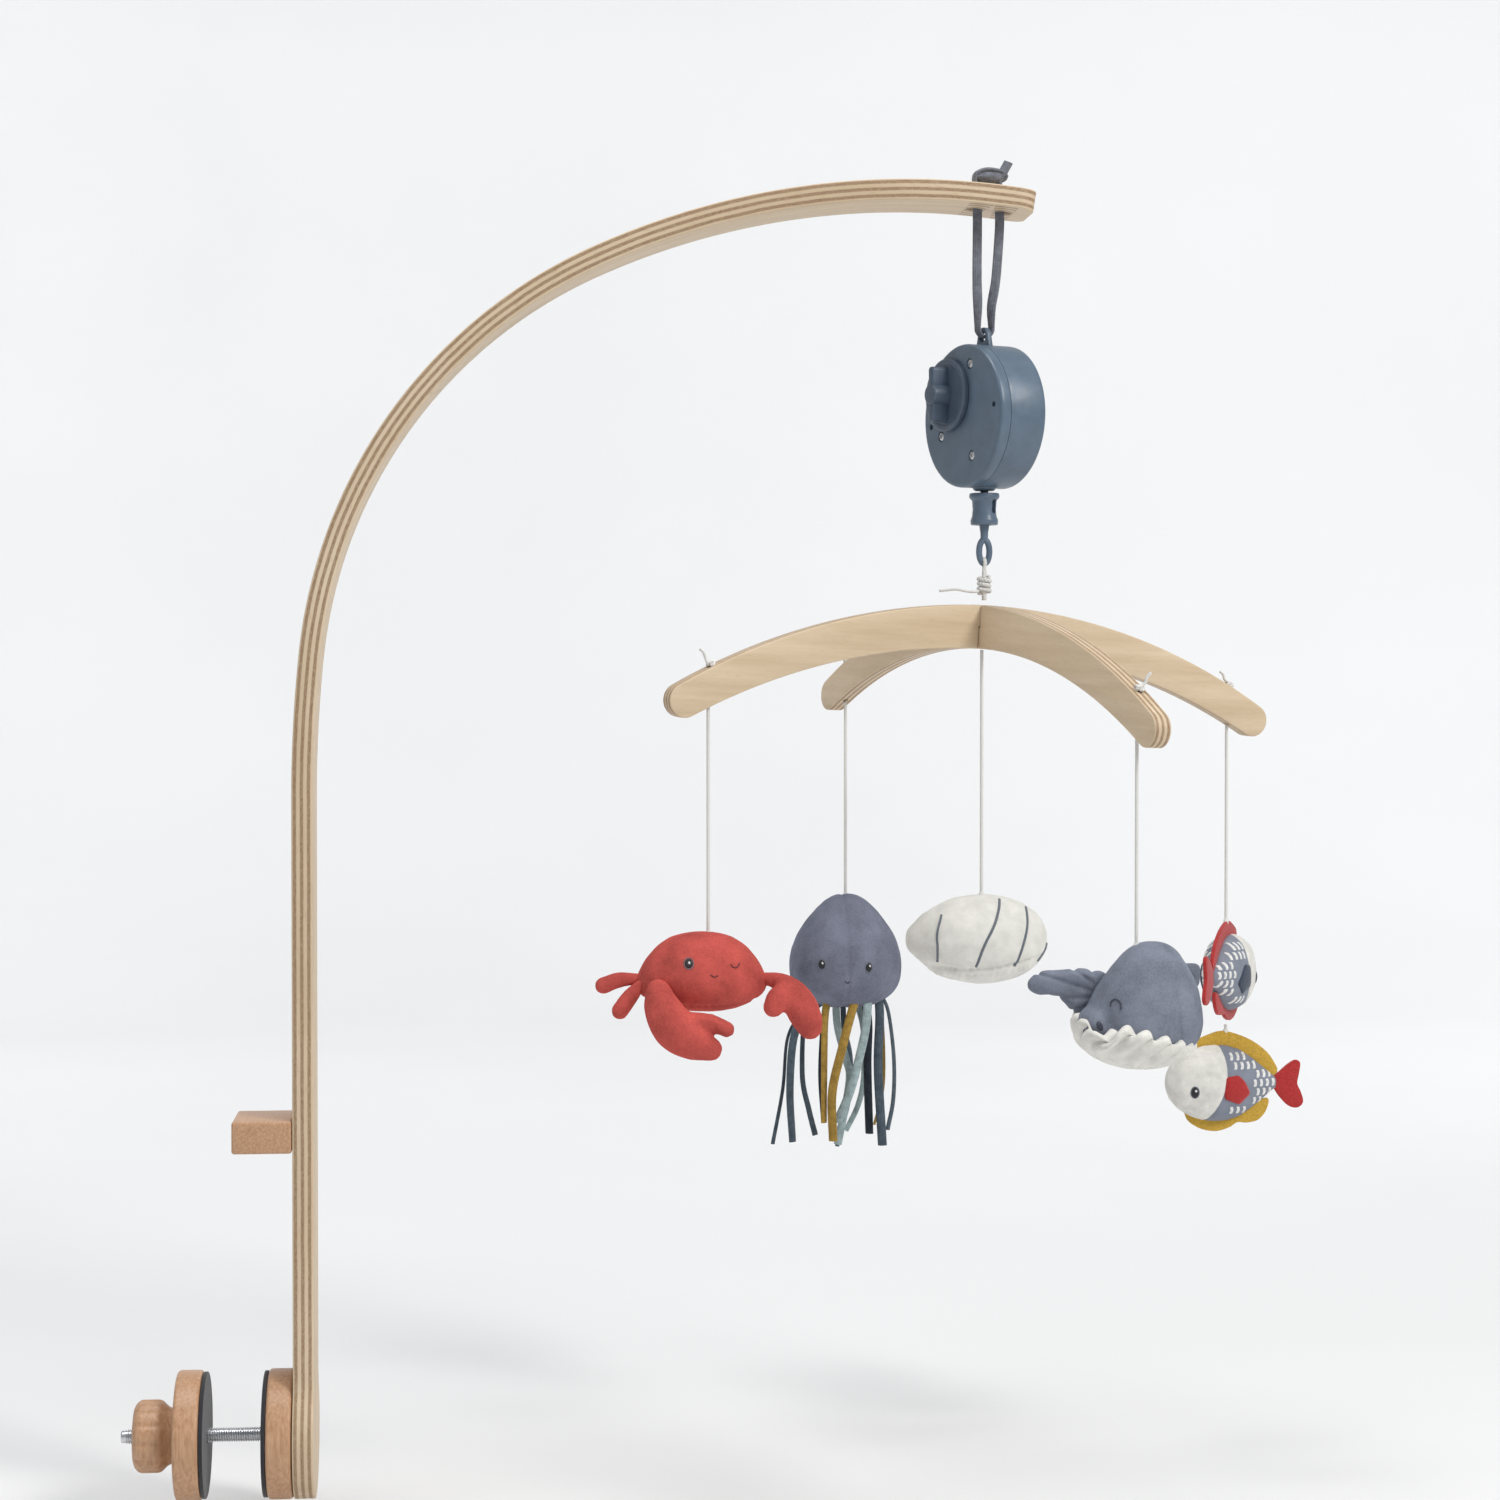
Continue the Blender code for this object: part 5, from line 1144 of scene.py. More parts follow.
def inflate(mesh, cap, pressure):
    """Stuffs the cover: a cloth simulation under pressure, with no point moving further than the cap."""
    frames = 14
    piece = temporary(mesh)
    rest = points_of(mesh)
    size = 30  # the solver works on a cover thirty times as large
    middle = rest.mean(axis=0)
    set_points(mesh, (rest - middle) * size)
    cloth = piece.modifiers.new("stuffing", "CLOTH")
    settings = {
        "quality": 4, "mass": 0.25, "tension_stiffness": 18, "compression_stiffness": 18,
        "shear_stiffness": 8,
        "bending_stiffness": 0.6, "use_pressure": True, "uniform_pressure_force": pressure,
    }
    for key, value in settings.items():
        setattr(cloth.settings, key, value)
    cloth.settings.effector_weights.gravity = 0
    cloth.collision_settings.use_collision = False
    cloth.point_cache.frame_end = frames
    for number in range(1, frames + 1):
        bpy.context.scene.frame_set(number)
    apply_modifiers(piece)
    bpy.context.scene.frame_set(1)
    mesh = piece.data
    bpy.data.objects.remove(piece)
    moved = points_of(mesh) / size + middle - rest
    far = np.maximum(np.linalg.norm(moved, axis=1, keepdims=True), 1e-9)
    set_points(mesh, rest + moved * np.minimum(1, cap / far))
    return mesh


def plush_mesh(parts, voxel=2.2 * MM, cap=1.2 * MM, rounds=3, pressure=6.0, dimple=0.25 * MM):
    """One stuffed cover from closed parts: joined, simulated under pressure, and made finer."""
    mesh = modified(joined(*parts), "REMESH", mode="VOXEL", voxel_size=voxel)
    relax(mesh, rounds)
    mesh = inflate(mesh, cap, pressure)
    mesh = modified(mesh, "SUBSURF", levels=1)
    points, normals = points_of(mesh), normals_of(mesh)
    soft = np.array([noise.noise(Vector(p) * 90) + 0.5 * noise.noise(Vector(p) * 210) for p in points])
    set_points(mesh, points + normals * soft[:, None] * dimple)
    return mesh


def groove(mesh, distance, width, depth, where=None):
    """Pulls a sewn seam in, where the distance function of the points is near zero."""
    points, normals = points_of(mesh), normals_of(mesh)
    near = np.exp(-((distance(points) / width) ** 2)) * depth
    if where is not None:
        near = near * where(points)
    set_points(mesh, points - normals * near[:, None])


def plush(name, mesh, look, body, nodes):
    piece = new_piece(name, mesh, look, body, nodes, 0)
    return piece


def tree_of(mesh):
    return BVHTree.FromPolygons([v.co for v in mesh.vertices], [tuple(p.vertices) for p in mesh.polygons])


def facing(place, way):
    """A frame at a place whose Z points back towards the viewer, against the way given."""
    back = -Vector(way).normalized()
    right = UP.cross(back).normalized()
    return Matrix.Translation(place) @ Matrix((right, back.cross(right), back)).transposed().to_4x4()


def on_cover(tree, view, x, y):
    """Where (x, y) metres in the view falls on the cover, or the nearest place beside it, and its normal."""
    before = 60 * MM
    place, normal, _, _ = tree.ray_cast(view @ Vector((x, y, before)), -(view.to_3x3() @ UP))
    if place is None:
        place, normal, _, _ = tree.find_nearest(view @ Vector((x, y, 0)))
    return place, normal


def patch(tree, view, outline, height, rings=4, sink=0.25 * MM):
    """A raised shape that lies on the cover: an outline of (x, y) metres seen in the view's own plane."""
    made = bmesh.new()
    centre = Vector((sum(p[0] for p in outline), sum(p[1] for p in outline))) / len(outline)
    rows = []
    profile = [(0.0, 1.0)] + [(k / rings, 1 - (k / rings) ** 4 * 0.35)
                              for k in range(1, rings)] + [(0.96, 0.5), (1.0, -1.0)]

    def lay(x, y, rise):
        place, normal = on_cover(tree, view, x, y)
        return place + normal * (rise * height if rise > 0 else rise * sink)

    for share, rise in profile:
        if share == 0:
            rows.append([made.verts.new(lay(*centre, rise))])
            continue
        rows.append([made.verts.new(lay(*(centre + (Vector(p) - centre) * share), rise)) for p in outline])
    size = len(outline)
    for low, high in zip(rows, rows[1:]):
        for k in range(size):
            after = (k + 1) % size
            corners = [low[k % len(low)], low[after % len(low)], high[after], high[k]]
            kept = [v for i, v in enumerate(corners) if v not in corners[:i]]
            made.faces.new(kept)
    made.faces.new(rows[-1][::-1])
    return mesh_from(made)


def smooth_outline(knots, spacing):
    """A closed outline in metres through knots of (x, y) millimetres."""
    return in_mm(smooth_route([(*k, 0) for k in (*knots, knots[0])], spacing)[:-1, :2])


def ellipse(x, y, a, b, tilt=0.0, count=24):
    """An outline in metres, from a place and half sizes in millimetres."""
    c, s = math.cos(math.radians(tilt)), math.sin(math.radians(tilt))
    made = []
    for k in range(count):
        u, v = a * math.cos(2 * math.pi * k / count), b * math.sin(2 * math.pi * k / count)
        made.append(((x + u * c - v * s) * MM, (y + u * s + v * c) * MM))
    return made


def line_on(tree, view, knots, width=0.9 * MM, height=0.7 * MM):
    """A thick embroidered line that lies on the cover, through knots of (x, y) millimetres in the view."""
    route = []
    for x, y, _ in smooth_route([(*k, 0) for k in knots], 0.6):
        place, normal = on_cover(tree, view, x * MM, y * MM)
        route.append(tuple(place + normal * 0.1 * MM))
    side = (Vector(route[1]) - Vector(route[0])).cross(view.to_3x3() @ UP)
    return swept(route, oval(width, height, 10, 2.0), side)


def details(name, meshes, look, body):
    new_piece(name, joined(*meshes), look, body, (), 60)


def eye_on(name, tree, view, x, y, body, wide, tall, glint):
    """An embroidered eye: a dark satin oval with a light glint and a thin outline."""
    details(f"{name}_dark", [patch(tree, view, ellipse(x, y, wide, tall), 0.55 * MM, 4)],
            "black_thread", body)
    gx, gy = glint
    light = patch(tree, view, ellipse(x + gx, y + gy, wide * 0.34, tall * 0.34, 20, 14),
                  0.85 * MM, 2, -0.3 * MM)
    details(f"{name}_glint", [light], "white_thread", body)
    loop = [(x + (wide + 0.45) * math.cos(a), y + (tall + 0.45) * math.sin(a))
            for a in np.linspace(0, 2 * math.pi, 13)]
    details(f"{name}_outline", [line_on(tree, view, loop, 0.5 * MM, 0.5 * MM)], "grey_thread", body)


# ---------------------------------------------------------------- crab
CRAB_PROFILE = (  # half width and height from the string's foot, in millimetres
    (0, 0), (9, -0.8), (17, -3.2), (23.5, -7.6), (28.5, -13.2), (32, -19.2), (34.4, -25.4),
    (34.0, -30.0), (30, -34),
    (22, -37.4), (12, -39.6), (0, -40.4),
)


def make_crab():
    foot, body = string_ends("crab_string")[1], "crab"

    def at(x, y, z):
        return foot + Vector((x, y, z)) * MM

    lean = turned(12, "X")
    dome = lathe(in_mm(CRAB_PROFILE), Matrix.Translation(at(-3.6, 0, 0))
                 @ Matrix.Diagonal((1, 0.68, 1, 1)), 48)
    belly = ball(at(0.5, -3, -29), Vector((25, 16.5, 10.6)) * MM, lean)
    mesh = plush_mesh([mesh_from(dome), belly], 2.0 * MM, 1.0 * MM, 3)
    tilt = math.tan(math.radians(11))

    def belt(p):
        return (p[:, 2] - (foot.z - 34.6 * MM)) - tilt * (p[:, 1] - foot.y)

    def tucks(p):
        return 0.7 + 0.3 * np.sin((p[:, 0] - foot.x) / MM * 1.7)

    groove(mesh, belt, 1.3 * MM, 1.3 * MM, tucks)
    crab = plush("crab_plush", mesh, "coral", body, ["crab_body"])
    tree = tree_of(crab.data)
    view = facing(foot, AHEAD)
    eye_on("crab_eye", tree, view, -11.5, -14.8, body, 2.0, 2.3, (0.3, 0.2))
    wink = [(12.5 + 2.4 * math.cos(a), -14.6 + 2.6 * math.sin(a))
            for a in np.linspace(math.radians(200), math.radians(350), 7)]
    details("crab_wink", [line_on(tree, view, wink, 0.8 * MM, 0.7 * MM)], "dark_red_thread", body)
    smile = [(-0.5, -20.4), (1.2, -21.6), (3.2, -21.0)]
    details("crab_smile", [line_on(tree, view, smile, 0.7 * MM, 0.6 * MM)], "dark_red_thread", body)

    claws = {
        "crab_claw_left": (
            ((-27.2, -19, -29, 6.5), (-25.5, -24, -37, 9.6), (-19.5, -28, -46.5, 11.8),
             (-11.5, -29.5, -53.5, 9.9),
             (-1.5, -29.5, -57.9, 6.6)),
            ((-10, -28.5, -43.5, 5.8), (-1, -29.5, -43.6, 4.7), (7.4, -30, -47.2, 4.4)),
        ),
        "crab_claw_right": (
            ((29.5, -4, -24.2, 3.6), (36.0, -7, -25.6, 5.0), (42.0, -10.5, -30.4, 7.6),
             (46.6, -13, -37.4, 9.0),
             (49.8, -14.5, -44.2, 8.2), (51.6, -15, -48.6, 6.6)),
            ((41, -14, -31.6, 6.6), (35.4, -15, -33.4, 6.6), (32.4, -15.5, -38.0, 5.6)),
        ),
    }
    for name, (palm, thumb) in claws.items():
        mesh = plush_mesh([limb(foot, palm, 0.78), limb(foot, thumb, 0.9)], 1.5 * MM, 0.7 * MM, 2,
                          dimple=0.2 * MM)
        middle = palm[2][1] * MM + foot.y
        groove(mesh, lambda p, middle=middle: p[:, 1] - middle - 0.5 * MM, 0.9 * MM, 0.8 * MM)
        plush(f"{name}_plush", mesh, "coral", body, [name])
    legs = {
        "crab_leg_upper": ((-37.0, -2, -24.0, 3.0), (-46.0, -1, -24.6, 4.3), (-54.4, 0, -27.6, 4.5)),
        "crab_leg_lower": ((-35.6, -6, -26.8, 2.9), (-41.2, -6, -33.4, 4.5), (-46.0, -5.5, -40.4, 4.6)),
    }
    for name, knots in legs.items():
        mesh = plush_mesh([limb(foot, knots, 0.95)], 1.2 * MM, 0.4 * MM, 2, dimple=0.15 * MM)
        middle = knots[1][1] * MM + foot.y
        groove(mesh, lambda p, middle=middle: p[:, 1] - middle, 0.8 * MM, 0.5 * MM)
        plush(f"{name}_plush", mesh, "coral", body, [name])


# ---------------------------------------------------------------- jellyfish
HEAD_PROFILE = (  # radius and height from the string's foot, in millimetres
    (0, 0.2), (6.5, -0.4), (12, -3.2), (17.4, -8.6), (23.4, -16.0), (28.4, -23.6), (31.5, -31), (32.9, -38.5),
    (33.0, -46), (31.4, -53.4), (26.8, -60), (19, -63.8), (10, -65.0), (0, -65.4),
)
RIBBONS = (  # look, width in millimetres, way across, and route in millimetres from the string's foot
    ("slate", 4.6, (0.3, 1, 0), ((-17, 4, -61), (-27, 3, -72), (-34.2, 1, -86), (-37.0, -1, -114.8),
                                 (-43.0, -2, -147))),
    ("slate", 5.6, (1, 0.2, 0), ((-14, -7, -62), (-25, -8, -71), (-31.4, -8, -85), (-33.4, -8, -114.8),
                                 (-31.8, -8, -145))),
    ("slate", 5.2, (0.6, 1, 0), ((-16, 9, -61), (-22.5, 11, -73), (-24.0, 11, -108), (-20.5, 8, -128),
                                 (-16.8, 6, -143.2))),
    ("mustard", 5.2, (1, 0.5, 0), ((-12, -15, -60), (-13.8, -16.5, -74), (-14.1, -16, -102),
                                   (-14.1, -15, -133))),
    ("mustard", 5.6, (1, 0.1, 0), ((4, -20, -59), (0.4, -22, -70), (-4.1, -21, -87.7), (-10, -19, -114.8),
                                   (-9.4, -18, -143.4))),
    ("mint", 5.0, (1, -0.6, 0), ((-7, -9, -62), (-5.8, -10, -78), (-1.0, -9, -96), (1.4, -8, -110),
                                 (-5.3, -7, -147))),
    ("mint", 5.6, (1, 0.2, 0), ((11.5, -18, -59), (9.8, -20, -76), (6.8, -18, -92), (1.2, -14, -114.8),
                                (-6.3, -12, -133.4))),
    ("slate", 5.0, (1, 0.8, 0), ((-1, 2, -63), (0.0, 2, -80), (3.4, 1, -97.7), (2.4, 0, -121.2),
                                 (-4.7, -1, -149))),
    ("dark_slate", 5.4, (1, -0.2, 0), ((12, 3, -62), (14.0, 3, -78), (13.5, 3, -102.4), (14.6, 3, -142.4))),
    ("mint", 4.8, (1, 0.4, 0), ((7, 12, -61), (12.6, 13, -80), (13.0, 12, -108), (9.4, 11, -126),
                                (1.8, 10, -141.6))),
    ("slate", 5.8, (1, 0.1, 0), ((18.5, -9, -59), (19.2, -10, -72), (18.4, -9, -102), (21.0, -8, -147.8))),
    ("mustard", 4.4, (0.5, 1, 0), ((20, 2, -60), (22.4, 2, -74), (23.0, 1, -112), (17.3, 0, -136.6))),
    ("slate", 4.8, (0.35, 1, 0), ((21, -3, -59), (25.4, -3.5, -70), (28.6, -4, -96.5), (28.3, -4, -121),
                                  (24.9, -4, -139.2))),
    ("dark_slate", 4.8, (1, 0.3, 0), ((-9, 13, -61), (-11, 14, -80), (-12.5, 13, -108), (-11, 12, -136))),
)
CAD_RIBBONS = {1: 1, 4: 2, 6: 3, 10: 4}  # visible ribbon's index: CAD ribbon's number


def curled(width):
    """A jersey strip's section, rolled to one side; curl is in radians, from its middle to an edge."""
    thick, curl, steps = 1.0 * MM, 0.9, 7
    radius = width / (2 * curl)
    outer, inner = [], []
    for k in range(steps):
        a = curl * (2 * k / (steps - 1) - 1)
        for points, r in ((outer, radius + thick / 2), (inner, radius - thick / 2)):
            points.append((r * math.sin(a), r * math.cos(a) - radius * math.cos(curl * 0.55)))
    return rounded(outer + inner[::-1], 0.2 * MM, 1, True)


def make_jellyfish():
    foot, body = string_ends("jellyfish_string")[1], "jellyfish"
    head = mesh_from(lathe(in_mm(HEAD_PROFILE), Matrix.Translation(foot), 40))
    mesh = plush_mesh([head], 2.2 * MM, 1.1 * MM, 4, dimple=0.3 * MM)
    seam_x = foot.x - 2.0 * MM

    def front_seam(p):
        return p[:, 0] - seam_x

    def side_seams(p):
        return p[:, 1] - foot.y - 2 * MM

    groove(mesh, front_seam, 1.1 * MM, 0.8 * MM)
    groove(mesh, side_seams, 1.2 * MM, 0.9 * MM)
    head = plush("jellyfish_plush", mesh, "blue_grey", body, ["jellyfish_head"])
    tree = tree_of(head.data)
    view = facing(foot, AHEAD)
    eye_on("jellyfish_eye_left", tree, view, -17.2, -39.1, body, 1.7, 2.5, (0.6, 0.8))
    eye_on("jellyfish_eye_right", tree, view, 9.8, -40.7, body, 1.7, 2.5, (0.6, 0.8))
    mouth = [(-4.0, -48.6), (-2.6, -49.8), (-1.2, -48.8)]
    details("jellyfish_mouth", [line_on(tree, view, mouth, 0.7 * MM, 0.6 * MM)], "dark_blue_thread", body)

    for index, (look, width, side, knots) in enumerate(RIBBONS):
        route = smooth_route([foot + Vector(k) * MM for k in knots], 1.5 * MM)
        mesh = swept(route, curled(width * MM * 0.96), side, 4.0 * (-1) ** index)
        nodes = [f"jellyfish_ribbon_{CAD_RIBBONS[index]}"] if index in CAD_RIBBONS else []
        ribbon = new_piece(f"ribbon_{index + 1}", mesh, look, body, nodes, 60)


# ---------------------------------------------------------------- shell
SHELL_PROFILE = (  # distance from the blunt end and radius, in millimetres
    (0, 0), (0.1, 3.6), (1.4, 6.2), (5, 9.8), (9.5, 13.9), (17, 18.8), (24.5, 21.9), (32, 23.4),
    (39.5, 23.9), (47, 23.7),
    (54, 22.6), (61, 20.4), (66.5, 17.6), (71, 14.0), (74.2, 9.8), (76, 5.4), (76.5, 0),
)
SHELL_STRIPES = (  # top and bottom of each stripe, in millimetres from the string's foot
    ((-23.6, -10.5), (-26.5, -20), (-26.4, -28), (-26.0, -35.5)),
    ((8.5, -2.6), (4.0, -14), (-2.2, -26), (-6.2, -38.0)),
    ((22.9, -7.0), (21.6, -17), (18.6, -28), (15.2, -38.0)),
    ((34.2, -26.4), (33.0, -30), (30.8, -33), (28.6, -35.8)),
)


def make_shell():
    foot, body = string_ends("shell_string")[1], "shell"
    low_x, axis_z = -41.0 * MM, -24.6 * MM
    place = Matrix.Translation(foot + Vector((low_x, 0, axis_z))) @ turned(90, "Y")
    mesh = mesh_from(lathe([(r * MM, x * MM) for x, r in SHELL_PROFILE], place, 40))
    mesh = plush_mesh([mesh], 2.1 * MM, 0.8 * MM, 3, dimple=0.45 * MM)

    def lip(p):
        """The seam where the two halves meet, low on the front and the back, rising to the right end."""
        x = (p[:, 0] - foot.x) / MM
        return p[:, 2] - foot.z - (-39.6 + 0.0045 * (x + 4) ** 2 + 0.04 * x) * MM

    def puckers(p):
        """Small tucks just above and below the seam."""
        x = (p[:, 0] - foot.x) / MM
        return (0.75 + 0.25 * np.sin(x * 1.9 + 2 * np.sin(x * 0.31))) * np.clip(1.4 - (x / 28) ** 4, 0, 1)

    groove(mesh, lip, 1.1 * MM, 1.7 * MM, puckers)
    groove(mesh, lambda p: lip(p) + 3.0 * MM, 2.2 * MM, -1.2 * MM, puckers)
    shell = plush("shell_plush", mesh, "cream", body, ["shell"])
    tree = tree_of(shell.data)
    for side, way in (("front", 1), ("back", -1)):
        view = facing(foot, AHEAD * way)
        stripes = [line_on(tree, view, [(x * way, z) for x, z in knots], 1.5 * MM, 0.7 * MM)
                   for knots in SHELL_STRIPES]
        details(f"shell_stripes_{side}", stripes, "grey_thread", body)


# ---------------------------------------------------------------- whale
WHALE_PROFILE = (  # radius and height from the string's foot, in millimetres
    (0, 1.4), (6.5, 0.6), (11.5, -2.2), (15.6, -6.8), (21.0, -14.8), (25.0, -22), (27.2, -29),
    (28.3, -37), (28.0, -44),
    (24, -50), (14, -53.5), (0, -54.5),
)
JAW_RIM = -41.6  # height of the jaw's rim under the string; it falls by a quarter of the way to the right


def make_whale():
    foot, body = string_ends("whale_string")[1], "whale"

    def at(x, y, z):
        return foot + Vector((x, y, z)) * MM

    dome = lathe(in_mm(WHALE_PROFILE), Matrix.Translation(at(4.6, 0, 0)), 40)
    for v in dome.verts:  # the crown leans forward of the middle
        v.co.x += max(0.0, 1 + (v.co.z - foot.z) / (30 * MM)) * 3.5 * MM
    cheek = ball(at(-20.5, -3, -39), Vector((10.5, 15, 8)) * MM)
    mesh = plush_mesh([mesh_from(dome), cheek], 2.2 * MM, 1.0 * MM, 4, dimple=0.35 * MM)

    def crest(p):
        return p[:, 0] - foot.x - 12.5 * MM + 0.1 * (p[:, 2] - foot.z)

    groove(mesh, crest, 1.0 * MM, 0.9 * MM, lambda p: (p[:, 1] < foot.y) * 1.0)
    whale = plush("whale_plush", mesh, "whale", body, ["whale_body"])
    tree = tree_of(whale.data)
    view = facing(foot, AHEAD)
    arc = [(-14.2 + 2.2 * math.cos(a), -28.2 + 3.0 * math.sin(a))
           for a in np.linspace(math.radians(-35), math.radians(190), 9)]
    details("whale_eye", [line_on(tree, view, arc, 0.9 * MM, 0.8 * MM)], "dark_blue_thread", body)

    details("whale_far_eye", [patch(tree, view, ellipse(-21.6, -38.4, 1.5, 2.5, 20), 0.5 * MM)],
            "dark_blue_thread", body)

    jaw = ball(at(1.0, -1, -38.0), Vector((33, 32, 22.3)) * MM)
    above = slab(oblong(120, 120), 0, 60 * MM, Matrix.Translation(at(0, 0, JAW_RIM)) @ turned(14, "Y"))
    mesh = plush_mesh([carved(jaw, above)], 1.7 * MM, 0.8 * MM, 4, dimple=0.2 * MM)
    points = points_of(mesh)
    x, y, z = ((points - np.array(foot)) / MM).T
    rim = np.clip(1 - (JAW_RIM - 0.25 * x - z) / 15, 0, 1)
    points[:, 2] -= 7.5 * MM * np.exp(-(((x + 20.5) / 6) ** 2)) * rim * (y < 0)
    set_points(mesh, points)
    normals = normals_of(mesh)
    around = np.arctan2(y + 1, x - 1)
    down = JAW_RIM - 0.25 * x - z  # below the rim
    folds = np.abs(np.sin((around * 17 + down * 0.62) / 2)) * 2 - 1.2
    depth = np.clip(2.1 - down * 0.08, 0.5, 2.1) * (1 - np.clip(-down - 1.5, 0, 1))
    set_points(mesh, points + normals * (folds * depth * MM)[:, None])
    plush("whale_jaw_plush", mesh, "cream", body, ["whale_jaw"])

    fan = [(-12, -14), (-24, -10.8), (-36, -11.4), (-46, -12.8), (-52.0, -17.2), (-53.0, -21.4),
           (-48.6, -25.4), (-41.5, -27.2),
           (-35.5, -30.6), (-30.0, -35.6), (-24.5, -36.4), (-18, -33), (-12, -30)]
    place = Matrix.Translation(at(0, 10, 0)) @ UPRIGHT
    flat = slab(smooth_outline(fan, 1.5), -3.2 * MM, 3.2 * MM, place, 1.6 * MM)
    mesh = plush_mesh([mesh_from(flat)], 1.7 * MM, 1.8 * MM, 3, 9.0, dimple=0.15 * MM)
    root = at(-13, 0, -26)

    def ribs(p):
        angle = np.arctan2(p[:, 2] - root.z, root.x - p[:, 0])
        away = np.hypot(p[:, 2] - root.z, root.x - p[:, 0])
        return np.sin(angle * 8.5 + 0.4) / 8.5 * away

    groove(mesh, ribs, 0.9 * MM, 1.2 * MM, lambda p: np.clip((root.x - p[:, 0]) / (9 * MM), 0, 1))
    plush("whale_tail_plush", mesh, "whale", body, ["whale_tail"])

    fin = [(18, -8.6), (28, -9.6), (34.4, -11.4), (35.0, -15), (34.0, -21.8), (30, -24.2),
           (24, -22), (18, -18)]
    place = Matrix.Translation(at(0, 11, 0)) @ UPRIGHT
    flat = slab(smooth_outline(fin, 1.5), -2.2 * MM, 2.2 * MM, place, 1.2 * MM)
    mesh = plush_mesh([mesh_from(flat)], 1.4 * MM, 1.0 * MM, 3, dimple=0.15 * MM)
    plush("whale_fin_plush", mesh, "whale", body, ["whale_fin"])


# ---------------------------------------------------------------- fish
FISH_HANG = 29.7  # from the string's foot down to the fish's middle, in millimetres
FISH_PROFILE = (  # distance from the nose and half height, in millimetres
    (0, 0), (0.5, 4.6), (3, 10.2), (8, 15.8), (15, 20), (23, 22.2), (30, 22.8), (37, 22),
    (44, 19.6), (51, 15.2),
    (58, 9.6), (62.5, 5.8), (65.5, 4.0), (66.5, 0),
)
BACK_FIN = ((-19, 19), (-17.5, 23.6), (-10, 27.2), (-1.9, 29.2), (8, 26.8), (16, 23.0), (23.5, 17.2),
            (28.2, 10.6), (29.6, 6.0),
            (25, 3.5), (14, 12), (0, 17.5), (-12, 18.5))
BELLY_FIN = ((-24, -16), (-21.5, -21.5), (-14.5, -25.9), (-5.8, -27.4), (2.0, -25.4), (6.6, -22.6),
             (12.4, -22.8), (18.7, -21.2),
             (23.4, -15.6), (24, -9), (14, -12), (0, -17), (-14, -16))


FISH_TAIL = ((27, -2.6), (31, -8.5), (36.2, -13.6), (41.4, -14.6), (44.6, -11.4), (43.2, -5.6),
             (41.2, -1.0), (42.2, 5),
             (42.8, 10.8), (39.8, 12.4), (35.2, 9.8), (31, 6.2), (27, 2.8))
SIDE_FIN = rounded(
    ((-2.6, 4.6), (4.4, 5.6), (8.2, 2.0), (11.8, -5.0), (5.4, -11.4), (-4.0, -7.8),
     (-3.4, -1.0)), 1.6, 4, True)


def dash():
    """One printed scale: a short upright bar, a little bowed."""
    half_long, half_wide = 2.1 * MM, 1.15 * MM
    return rounded([(-half_wide, -half_long), (half_wide * 0.6, -half_long), (half_wide, 0),
                    (half_wide * 0.6, half_long),
                    (-half_wide, half_long), (-half_wide * 0.5, 0)], 0.5 * MM, 2, True)


